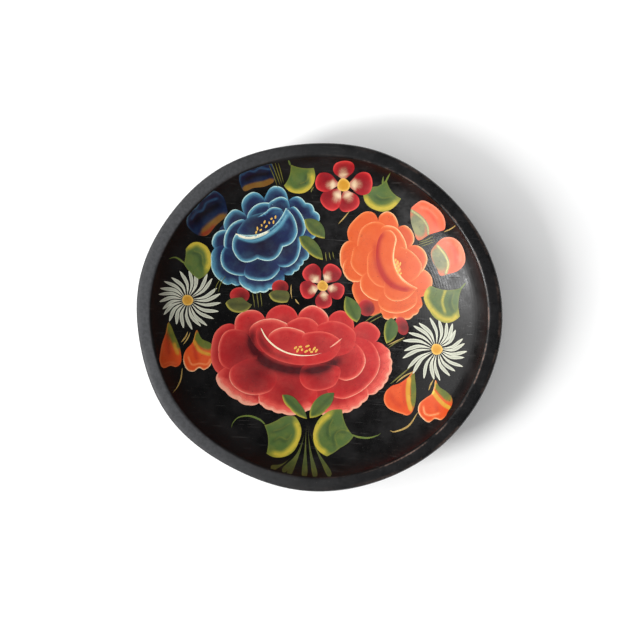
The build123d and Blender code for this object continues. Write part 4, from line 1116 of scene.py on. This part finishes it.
def daisy_tree():
    """Strokes about an eye. Lean is the direction in which they reach less far, up the wall."""
    nodes, given, made = new_group(
        "Daisy", [("Geometry", "Geometry", None), ("Stroke", "Object", None), ("Count", "Int", 21),
                  ("Eye", "Float", 2.6), ("Reach", "Float", 1.0), ("Lean", "Float", 0.0), ("Seed", "Int", 4),
                  ("Finish", "Material", None)], [("Geometry", "Geometry", None)], "GeometryNodeTree")
    spots = nodes.add("GeometryNodeMeshLine", {"Count": given.outputs["Count"]}, mode="OFFSET")
    number = nodes.add("GeometryNodeInputIndex").outputs[0]
    step = nodes.math("DIVIDE", 2 * pi, given.outputs["Count"])
    angle = nodes.math("MULTIPLY", number, step)
    wobble = nodes.add("FunctionNodeRandomValue",
                       {2: -0.055, 3: 0.055, "Seed": given.outputs["Seed"]}).outputs[1]
    angle = nodes.math("ADD", angle, wobble)
    place = nodes.add("ShaderNodeCombineXYZ", {
        0: nodes.math("MULTIPLY", nodes.math("COSINE", angle), given.outputs["Eye"]),
        1: nodes.math("MULTIPLY", nodes.math("SINE", angle), given.outputs["Eye"])}).outputs[0]
    moved = nodes.add("GeometryNodeSetPosition", {"Geometry": spots.outputs[0], "Position": place})
    shorter = nodes.math("MULTIPLY", nodes.math("COSINE",
                                                nodes.math("SUBTRACT", angle, given.outputs["Lean"])), -0.12)
    odd = nodes.add("FunctionNodeRandomValue", {2: 0.90, 3: 1.06, "Seed": nodes.math(
        "ADD", given.outputs["Seed"], 7.0)}).outputs[1]
    size = nodes.math("MULTIPLY", nodes.math("MULTIPLY", nodes.math("ADD", shorter, 1.0), odd),
                      given.outputs["Reach"])
    wide = nodes.add("FunctionNodeRandomValue", {2: 0.95, 3: 1.15, "Seed": nodes.math(
        "ADD", given.outputs["Seed"], 3.0)}).outputs[1]
    source = nodes.add("GeometryNodeObjectInfo", {"Object": given.outputs["Stroke"], "As Instance": True})
    laid = nodes.add("GeometryNodeInstanceOnPoints", {
        "Points": moved.outputs[0], "Instance": source.outputs["Geometry"],
        "Rotation": nodes.add("FunctionNodeAxisAngleToRotation",
                              {"Axis": (0, 0, 1), "Angle": angle}).outputs[0],
        "Scale": nodes.add("ShaderNodeCombineXYZ", {0: size, 1: wide, 2: 1.0}).outputs[0]})
    real = nodes.add("GeometryNodeRealizeInstances", {0: laid.outputs[0]})
    done = nodes.add("GeometryNodeSetMaterial",
                     {"Geometry": real.outputs[0], "Material": given.outputs["Finish"]})
    nodes.tree.links.new(done.outputs[0], made.inputs[0])
    return nodes.tree


def grown(name, tree, values):
    """Runs a tree on an empty piece and returns the plain mesh that it makes."""
    holder = bpy.data.objects.new(name, bpy.data.meshes.new(name + "_start"))
    bpy.context.scene.collection.objects.link(holder)
    modifier = holder.modifiers.new("grow", "NODES")
    modifier.node_group = tree
    for socket in tree.interface.items_tree:
        if socket.in_out == "INPUT" and socket.name in values:
            modifier[socket.identifier] = values[socket.name]
    sight = bpy.context.evaluated_depsgraph_get()
    mesh = bpy.data.meshes.new_from_object(holder.evaluated_get(sight), preserve_all_data_layers=True,
                                           depsgraph=sight)
    mesh.name = name
    holder.modifiers.remove(modifier)
    bpy.data.objects.remove(holder)
    return mesh


strokes = daisy_tree()

# %% Two daisies
for name, node, centre, count, eye, reach, lean, seed in (
        ("left_daisy_strokes", "daisy_left", (-79.5, 9.8), 23, 3.3, 1.0, pi, 4),
        ("right_daisy_strokes", "daisy_right", (71.6, -20.0), 23, 3.4, 1.06, 0.0, 9)):
    ring_of_strokes = grown(name + "_flat", strokes, {
        "Stroke": stroke_piece, "Count": count, "Eye": eye * 0.7, "Reach": reach, "Lean": lean, "Seed": seed,
        "Finish": WHITE})
    dab = Motif(layer=6)
    dab.lay(smooth([(eye * r * cos(radians(a)), eye * r * sin(radians(a)))
                    for a, r in ((0, 1), (60, 0.95), (120, 1.04), (180, 0.94), (240, 1.0), (300, 0.96))]),
            edge=1.5, light=0.5, third=1.0, ridge=2.0)
    eye_mesh = dab.mesh(name + "_eye")
    joined = bpy.data.meshes.new(name)
    build = bmesh.new()
    for part in (ring_of_strokes, eye_mesh):
        build.from_mesh(part)
    build.to_mesh(joined)
    build.free()
    spread = np.zeros(len(joined.vertices) * 3)
    joined.vertices.foreach_get("co", spread)
    spread = spread.reshape(-1, 3) + (*centre, 0)
    joined.vertices.foreach_set("co", spread.ravel())
    lay_on_wood(joined, node, WHITE)
bpy.data.objects.remove(stroke_piece)

# %% [markdown]
# ## The bowl itself
# On a real lathe the block turns against the tool, and the tool's path is the profile. Geometry Nodes
# do the same: a grid of points is wrapped round the profile line, one edge of the grid meeting the
# other. Then the grain's shrinkage squeezes it, and the slow waves of handwork move it.

# %% Profile of the turning


def arc_points(radius, centre, start, end, count):
    """Points on an arc about a centre in the profile's plane, by angle in radians."""
    around = np.linspace(start, end, count)
    return np.stack([centre[0] + radius * np.cos(around), centre[1] + radius * np.sin(around)], axis=-1)


slant = floor_reach - wall_centre_r
rim_round = 1.5 * mm
outer_round = 4 * mm
edge_low = rim_height - 9 * mm
foot_round = 1.2 * mm
belly = 3                      # mm, how far the back bulges
floor_arc = arc_points(dish_radius, (0, dish_centre), -pi / 2, -pi / 2 + dish_slope, 60)
wall_arc = arc_points(wall_radius, (wall_centre_r, wall_centre_z),
                      atan2(-sqrt(wall_radius**2 - slant**2), slant),
                      atan2(rim_height - wall_centre_z, inner_radius - wall_centre_r), 34)
wall_arc = wall_arc[wall_arc[:, 1] < rim_height - rim_round]
rim_in = np.array([[wall_arc[-1, 0] + 0.18 * mm, rim_height - 1.1 * mm],
                   [inner_radius + 0.35 * mm, rim_height - 0.55 * mm],
                   [inner_radius + 0.9 * mm, rim_height - 0.18 * mm],
                   [inner_radius + 1.8 * mm, rim_height - 0.02 * mm]])
rim_top = np.array([[inner_radius + way * mm, rim_height - (way / 9) ** 3 * 0.25 * mm]
                    for way in (3, 4.5, 6, 7.5, 9)])
rim_out = arc_points(outer_round, (long_radius - outer_round, rim_height - outer_round - 0.3 * mm),
                     pi / 2 - 0.1, 0, 12)
side = np.array([[long_radius, height] for height in np.linspace(rim_out[-1, 1] - 0.8 * mm, edge_low, 5)])
start, end = side[-1], np.array([foot_radius, 0.0])
run = end - start
out = np.array([-run[1], run[0]]) / hypot(*run) * -1
share = np.linspace(0, 1, 42)[1:-2, None]
back = start + run * share + out * (4 * belly * mm * share * (1 - share)) * (1 if out[1] < 0 else -1)
foot_out = np.array([[foot_radius + 0.2 * mm, foot_round * 0.6], [foot_radius - 0.3 * mm, foot_round * 0.25],
                     [foot_radius - foot_round, 0.0]])
foot_in = np.array([[recess_radius + foot_round, 0.0], [recess_radius + 0.35 * mm, foot_round * 0.25],
                    [recess_radius, foot_round]])
recess = np.array([[recess_radius, recess_depth - 0.6 * mm], [recess_radius - 0.5 * mm, recess_depth]])
ceiling = np.array([[radius, recess_depth] for radius in np.linspace(recess_radius - 3 * mm, 0, 14)])
foot_flat = np.array([[radius, 0.0]
                      for radius in np.linspace(foot_radius - 4 * mm, recess_radius + 4 * mm, 4)])
profile = np.concatenate([floor_arc, wall_arc[1:], rim_in, rim_top, rim_out, side, back, foot_out, foot_flat,
                          foot_in, recess, ceiling])
print("profile points:", len(profile))

# %% Lathe tree
line = bpy.data.meshes.new("profile")
line.from_pydata([(radius, 0, height) for radius, height in profile],
                 [(n, n + 1) for n in range(len(profile) - 1)], [])
profile_piece = bpy.data.objects.new("profile", line)

nodes, given, made = new_group(
    "Lathe", [("Geometry", "Geometry", None), ("Profile", "Object", None), ("Turns", "Int", 256),
              ("Width left", "Float", 1.0), ("Inner radius", "Float", 0.1), ("Finish", "Material", None)],
    [("Geometry", "Geometry", None)], "GeometryNodeTree")
source = nodes.add("GeometryNodeObjectInfo", {"Object": given.outputs["Profile"]}).outputs["Geometry"]
count = nodes.add("GeometryNodeAttributeDomainSize", {0: source}).outputs["Point Count"]
sheet = nodes.add("GeometryNodeMeshGrid", {"Size X": 1.0, "Size Y": 1.0, "Vertices X": count,
                                           "Vertices Y": nodes.math("ADD", given.outputs["Turns"], 1.0)})
index = nodes.add("GeometryNodeInputIndex").outputs[0]
rows = nodes.math("ADD", given.outputs["Turns"], 1.0)
along = nodes.math("FLOOR", nodes.math("DIVIDE", nodes.math("ADD", index, 0.5), rows))
turned = nodes.math("SUBTRACT", index, nodes.math("MULTIPLY", along, rows))
sampled = nodes.add("GeometryNodeSampleIndex", {"Geometry": source, "Value": nodes.add(
    "GeometryNodeInputPosition").outputs[0], "Index": along}, data_type="FLOAT_VECTOR", domain="POINT",
                    clamp=True)
where = nodes.add("ShaderNodeSeparateXYZ", {0: sampled.outputs[0]})
angle = nodes.math("DIVIDE", nodes.math("MULTIPLY", turned, 2 * pi), given.outputs["Turns"])
wave = None
for waves, depth, phase in CARVING:
    one = nodes.math("MULTIPLY", nodes.math("SINE",
                                            nodes.math("ADD", nodes.math("MULTIPLY", angle, float(waves)),
                                                               radians(phase))), depth * mm)
    wave = one if wave is None else nodes.math("ADD", wave, one)
ramp = nodes.between(nodes.math("DIVIDE", where.outputs[0], given.outputs["Inner radius"]), 0.6, 1.0)
grow = nodes.math("ADD", nodes.math("DIVIDE", nodes.math("MULTIPLY", wave, ramp),
                                    given.outputs["Inner radius"]), 1.0)
radius = nodes.math("MULTIPLY", where.outputs[0], grow)
place = nodes.add("ShaderNodeCombineXYZ", {
    0: nodes.math("MULTIPLY", radius, nodes.math("COSINE", angle)),
    1: nodes.math("MULTIPLY", nodes.math("MULTIPLY", radius, nodes.math("SINE", angle)),
                  given.outputs["Width left"]),
    2: where.outputs[2]}).outputs[0]
turning = nodes.add("GeometryNodeSetPosition", {"Geometry": sheet.outputs[0], "Position": place})
closed = nodes.add("GeometryNodeMergeByDistance", {"Geometry": turning.outputs[0], "Distance": 0.00002})
soft = nodes.add("GeometryNodeSetShadeSmooth", {"Geometry": closed.outputs[0]})
real = nodes.add("GeometryNodeRealizeInstances", {0: soft.outputs[0]})
done = nodes.add("GeometryNodeSetMaterial",
                 {"Geometry": real.outputs[0], "Material": given.outputs["Finish"]})
nodes.tree.links.new(done.outputs[0], made.inputs[0])
lathe = nodes.tree

# %% [markdown]
# ## Black lacquer
# Old lacquer isn't plain black. It is glossy with a soft haze of dust and wiping, fine scratches run
# in all directions, faint rings remain from the turning, and on the rim's edges it has rubbed
# through to the reddish brown of the wood. Small chips show light ground.

# %% Lacquer finish
LACQUER = bpy.data.materials.new("black lacquer")
LACQUER.use_nodes = True
nodes = Nodes(LACQUER.node_tree)
shader = LACQUER.node_tree.nodes["Principled BSDF"]
place = nodes.add("ShaderNodeTexCoord").outputs["Object"]
where = nodes.add("ShaderNodeSeparateXYZ", {0: place})
round_y = nodes.math("DIVIDE", where.outputs[1], width_left)
radius = nodes.math("SQRT", nodes.math("ADD", nodes.math("POWER", where.outputs[0], 2.0), nodes.math(
    "POWER", round_y, 2.0)))
worn = nodes.add("ShaderNodeGroup", {"Chips": 0.15, "Dust": 1.0}, node_tree=age.tree)
cloudy = nodes.noise(place, 14.0, 5.0, 0.6)
fine = nodes.noise(place, 420.0, 3.0, 0.6)
scratch_place = nodes.add("ShaderNodeMapping",
                          {0: place, 2: (0, 0, radians(35)), 3: (30.0, 900.0, 60.0)}).outputs[0]
scratch_other = nodes.add("ShaderNodeMapping",
                          {0: place, 2: (0, 0, radians(-50)), 3: (26.0, 800.0, 60.0)}).outputs[0]
scratches = nodes.math("MAXIMUM", nodes.between(nodes.noise(scratch_place, 1.0, 2.0), 0.66, 0.74),
                       nodes.between(nodes.noise(scratch_other, 1.0, 2.0), 0.68, 0.76))
base = nodes.mix(nodes.between(cloudy, 0.3, 0.75), srgb(8, 8, 8), srgb(14, 13, 13))
base = nodes.mix(nodes.math("MULTIPLY", worn.outputs["Dusty"], 0.25), base, srgb(42, 41, 42))
base = nodes.mix(nodes.math("MULTIPLY", scratches, 0.16), base, srgb(104, 102, 100))
# The flat of the rim is painted grey: partly dust and wiping, partly a painted highlight, strongest on the
# left where the light falls on it.
flat_rim = nodes.math("MULTIPLY", nodes.between(where.outputs[2], rim_height - 3 * mm, rim_height - 0.8 * mm),
                      nodes.between(radius, inner_radius - 0.5 * mm, inner_radius + 1.5 * mm))
dust_and_lit_rim = nodes.math("MULTIPLY", flat_rim, nodes.between(where.outputs[0], -0.14, 0.02, 0.72, 0.10))
base = nodes.mix(dust_and_lit_rim, base, nodes.mix(nodes.between(fine, 0.3, 0.7), srgb(56, 57, 59), srgb(73, 74, 77)))
# Wear on the rim's two edges, heaviest on the right.
inner_edge = nodes.between(nodes.math("ABSOLUTE", nodes.math("SUBTRACT", radius, inner_radius + 0.6 * mm)),
                           0.9 * mm, 0.1 * mm)
outer_edge = nodes.between(nodes.math("ABSOLUTE", nodes.math("SUBTRACT", radius, long_radius - 2.2 * mm)),
                           2.2 * mm, 0.4 * mm)
more_on_right = nodes.between(where.outputs[0], 0.0, 0.13, 0.05, 0.8)
high = nodes.between(where.outputs[2], rim_height - 3.5 * mm, rim_height - 1 * mm)
patches = nodes.between(nodes.noise(place, 46.0, 5.0, 0.65), 0.44, 0.60)
edge_wear = nodes.math("MULTIPLY", nodes.math("MULTIPLY", nodes.math("MAXIMUM", inner_edge, nodes.math(
    "MULTIPLY", outer_edge, 0.3)), nodes.math("MULTIPLY", patches, high)), more_on_right, clamp=True)
brown = nodes.mix(nodes.between(fine, 0.3, 0.7), srgb(92, 62, 52), srgb(150, 122, 108))
base = nodes.mix(nodes.math("MULTIPLY", edge_wear, 0.9), base, brown)
base = nodes.mix(worn.outputs["Chipped"], base, srgb(120, 112, 104))
nodes.tree.links.new(base, shader.inputs["Base Color"])
shader.inputs["Specular IOR Level"].default_value = 0.38
rough = nodes.between(nodes.math("ADD", nodes.math("MULTIPLY", cloudy, 0.6),
                                 nodes.math("MULTIPLY", fine, 0.4)),
                      0.3, 0.7, 0.14, 0.30)
rough = nodes.math("ADD", rough, nodes.math("MULTIPLY", nodes.math("ADD", edge_wear, worn.outputs["Dusty"]),
                                            0.22))
rough = nodes.math("ADD", rough, nodes.math("MULTIPLY", scratches, 0.12))
wall_rough = nodes.math("MULTIPLY",
                        nodes.between(radius, floor_reach - 6 * mm, floor_reach + 9 * mm, 0.0, 0.34),
                        nodes.between(where.outputs[0], -0.04, 0.08, 1.0, 0.1))
rough = nodes.math("ADD", rough, wall_rough, clamp=True)
nodes.tree.links.new(rough, shader.inputs["Roughness"])
rings = nodes.math("SINE", nodes.math("MULTIPLY", radius, 2 * pi / (2.3 * mm)))
height = nodes.math("ADD", nodes.math("MULTIPLY", cloudy, 3.0), nodes.math("MULTIPLY", rings, 0.05))
height = nodes.math("SUBTRACT", nodes.math("ADD", height, nodes.math("MULTIPLY", fine, 0.12)),
                    nodes.math("ADD", nodes.math("MULTIPLY", scratches, 0.3),
                               nodes.math("MULTIPLY", edge_wear, 0.8)))
bump = nodes.add("ShaderNodeBump", {"Strength": 0.35, "Distance": 0.0004, "Height": height})
nodes.tree.links.new(bump.outputs[0], shader.inputs["Normal"])

# %% Turn the bowl
body = grown("turned_bowl", lathe, {"Profile": profile_piece, "Turns": 256, "Width left": width_left,
                                    "Inner radius": inner_radius, "Finish": LACQUER})
bpy.data.objects.remove(profile_piece)
shape = bmesh.new()
shape.from_mesh(body)
bmesh.ops.recalc_face_normals(shape, faces=shape.faces)
if shape.calc_volume(signed=True) < 0:
    bmesh.ops.reverse_faces(shape, faces=shape.faces)
open_edges = sum(not edge.is_manifold for edge in shape.edges)
print(f"turned bowl: {len(shape.faces)} faces, {open_edges} open edges, {shape.calc_volume() * 1e6:.0f} cm3")
shape.to_mesh(body)
shape.free()
turned_bowl = bpy.data.objects.new("turned_bowl", body)
bpy.context.scene.collection.objects.link(turned_bowl)
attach(turned_bowl, "bowl")
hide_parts("bowl")

# %% [markdown]
# ## The hanger under the foot
# The strap, the ring and the screws keep their shapes from the frame, because they are simple bent
# and turned metal, and get metals of their own: brushed steel that has dulled, and aged brass.

# %% Metals


def metal(name, colour, dull, rough, grain):
    """A worn metal: its colour, its dull patches, and the fine marks of its making."""
    finish = bpy.data.materials.new(name)
    finish.use_nodes = True
    nodes = Nodes(finish.node_tree)
    shader = finish.node_tree.nodes["Principled BSDF"]
    place = nodes.add("ShaderNodeTexCoord").outputs["Object"]
    marks = nodes.noise(nodes.add("ShaderNodeMapping", {0: place, 3: grain}).outputs[0], 1.0, 4.0, 0.6)
    stains = nodes.noise(place, 190.0, 5.0, 0.65)
    base = nodes.mix(nodes.between(stains, 0.42, 0.68), colour, dull)
    nodes.tree.links.new(base, shader.inputs["Base Color"])
    level = nodes.math("ADD", nodes.between(marks, 0.3, 0.7, rough - 0.08, rough + 0.08),
                       nodes.between(stains, 0.45, 0.7, 0.0, 0.2))
    nodes.tree.links.new(level, shader.inputs["Roughness"])
    bump = nodes.add("ShaderNodeBump", {"Strength": 0.4, "Distance": 0.00005, "Height": marks})
    nodes.tree.links.new(bump.outputs[0], shader.inputs["Normal"])
    shader.inputs["Metallic"].default_value = 1.0
    return finish


for node, finish in (("hanger_strap", metal("dull steel strap", srgb(150, 150, 148), srgb(96, 88, 80), 0.36,
                                            (90, 2400, 2400))),
                     ("hanger_ring", metal("drawn steel wire", srgb(176, 176, 172), srgb(120, 112, 104), 0.30,
                                           (1400, 1400, 1400))),
                     ("hanger_screws", metal("aged brass", srgb(176, 142, 74), srgb(104, 80, 44), 0.32,
                                             (1700, 1700, 600)))):
    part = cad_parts[node]
    part.data.materials.clear()
    part.data.materials.append(finish)

# %% [markdown]
# ## Floor, light and camera
# A white table in a room that is dark to the right. Two broad lights, above and on the left, light
# the table and the paint but don't mirror in the gloss. Two windows on the left do, and the smaller
# one makes the bright patch on the right wall. The camera looks straight down.

# %% Table
ground = bpy.data.meshes.new("table")
ground.from_pydata([(-3, -3, 0), (3, -3, 0), (3, 3, 0), (-3, 3, 0)], [], [(0, 1, 2, 3)])
table = bpy.data.objects.new("table", ground)
bpy.context.scene.collection.objects.link(table)
PAPER = bpy.data.materials.new("white table")
PAPER.use_nodes = True
nodes = Nodes(PAPER.node_tree)
shader = PAPER.node_tree.nodes["Principled BSDF"]
tone = nodes.noise(nodes.add("ShaderNodeTexCoord").outputs["Object"], 30.0, 4.0)
nodes.tree.links.new(nodes.mix(tone, srgb(244, 244, 244), srgb(250, 250, 249)), shader.inputs["Base Color"])
shader.inputs["Roughness"].default_value = 0.85
# A faint glow stands for the light that pale walls would send back.
shader.inputs["Emission Color"].default_value = srgb(250, 250, 250)
shader.inputs["Emission Strength"].default_value = 0.08
ground.materials.append(PAPER)

# %% Lights


def window(name, place, aim, wide, tall, power):
    """A soft rectangular light at a place, turned to a point."""
    lamp = bpy.data.lights.new(name, "AREA")
    lamp.shape, lamp.size, lamp.size_y, lamp.energy = "RECTANGLE", wide, tall, power
    thing = bpy.data.objects.new(name, lamp)
    thing.location = place
    thing.rotation_euler = (Vector(aim) - Vector(place)).to_track_quat("-Z", "Y").to_euler()
    bpy.context.scene.collection.objects.link(thing)
    return thing


soft = [window("left sky light", (-3.0, 0.3, 2.8), (0, 0, 0), 3.9, 3.2, 40),
        window("ceiling light", (-0.1, 0, 2.4), (0, 0, 0), 3.0, 3.0, 32)]
for lamp in soft:
    lamp.visible_glossy = False          # these light the table and the paint, but don't mirror in the gloss
window("left window", (-2.3, 0.1, 1.75), (0, 0, 0), 3.2, 2.0, 34)
near = 2.5                               # the pane that mirrors in the right wall, upper left of it
rise, turn = radians(39), radians(206)
window("window pane", (near * cos(rise) * cos(turn), near * cos(rise) * sin(turn), near * sin(rise)),
       (0, 0, 0.05),
       0.55, 0.8, 52)
room = bpy.data.worlds.new("room")
room.use_nodes = True
room.node_tree.nodes["Background"].inputs[0].default_value = srgb(236, 240, 246)
room.node_tree.nodes["Background"].inputs[1].default_value = 0.08
bpy.context.scene.world = room
bpy.context.scene.view_settings.view_transform = "Standard"

# %% Camera
view_width = 0.5749            # metres that the view spans at the rim's height
distance = 1.0                 # from the rim to the lens
film = 36                      # mm
beside, below = 0.9, 3.3       # mm from the bowl's middle to the middle of the view
lens = bpy.data.cameras.new("camera")
lens.sensor_width = film
lens.lens = film * distance / view_width
lens.clip_start, lens.clip_end = 0.02, 20
camera = bpy.data.objects.new("camera", lens)
roll = PAINTING_TURN
right = np.array([cos(roll), sin(roll)])      # the view's right and its upward side, on the table
up = np.array([-sin(roll), cos(roll)])
centre = right * beside * mm - up * below * mm
camera.location = (*centre, rim_height + distance)
camera.rotation_euler = (0, 0, roll)
bpy.context.scene.collection.objects.link(camera)
bpy.context.scene.camera = camera

# %% Done
print("scene built")
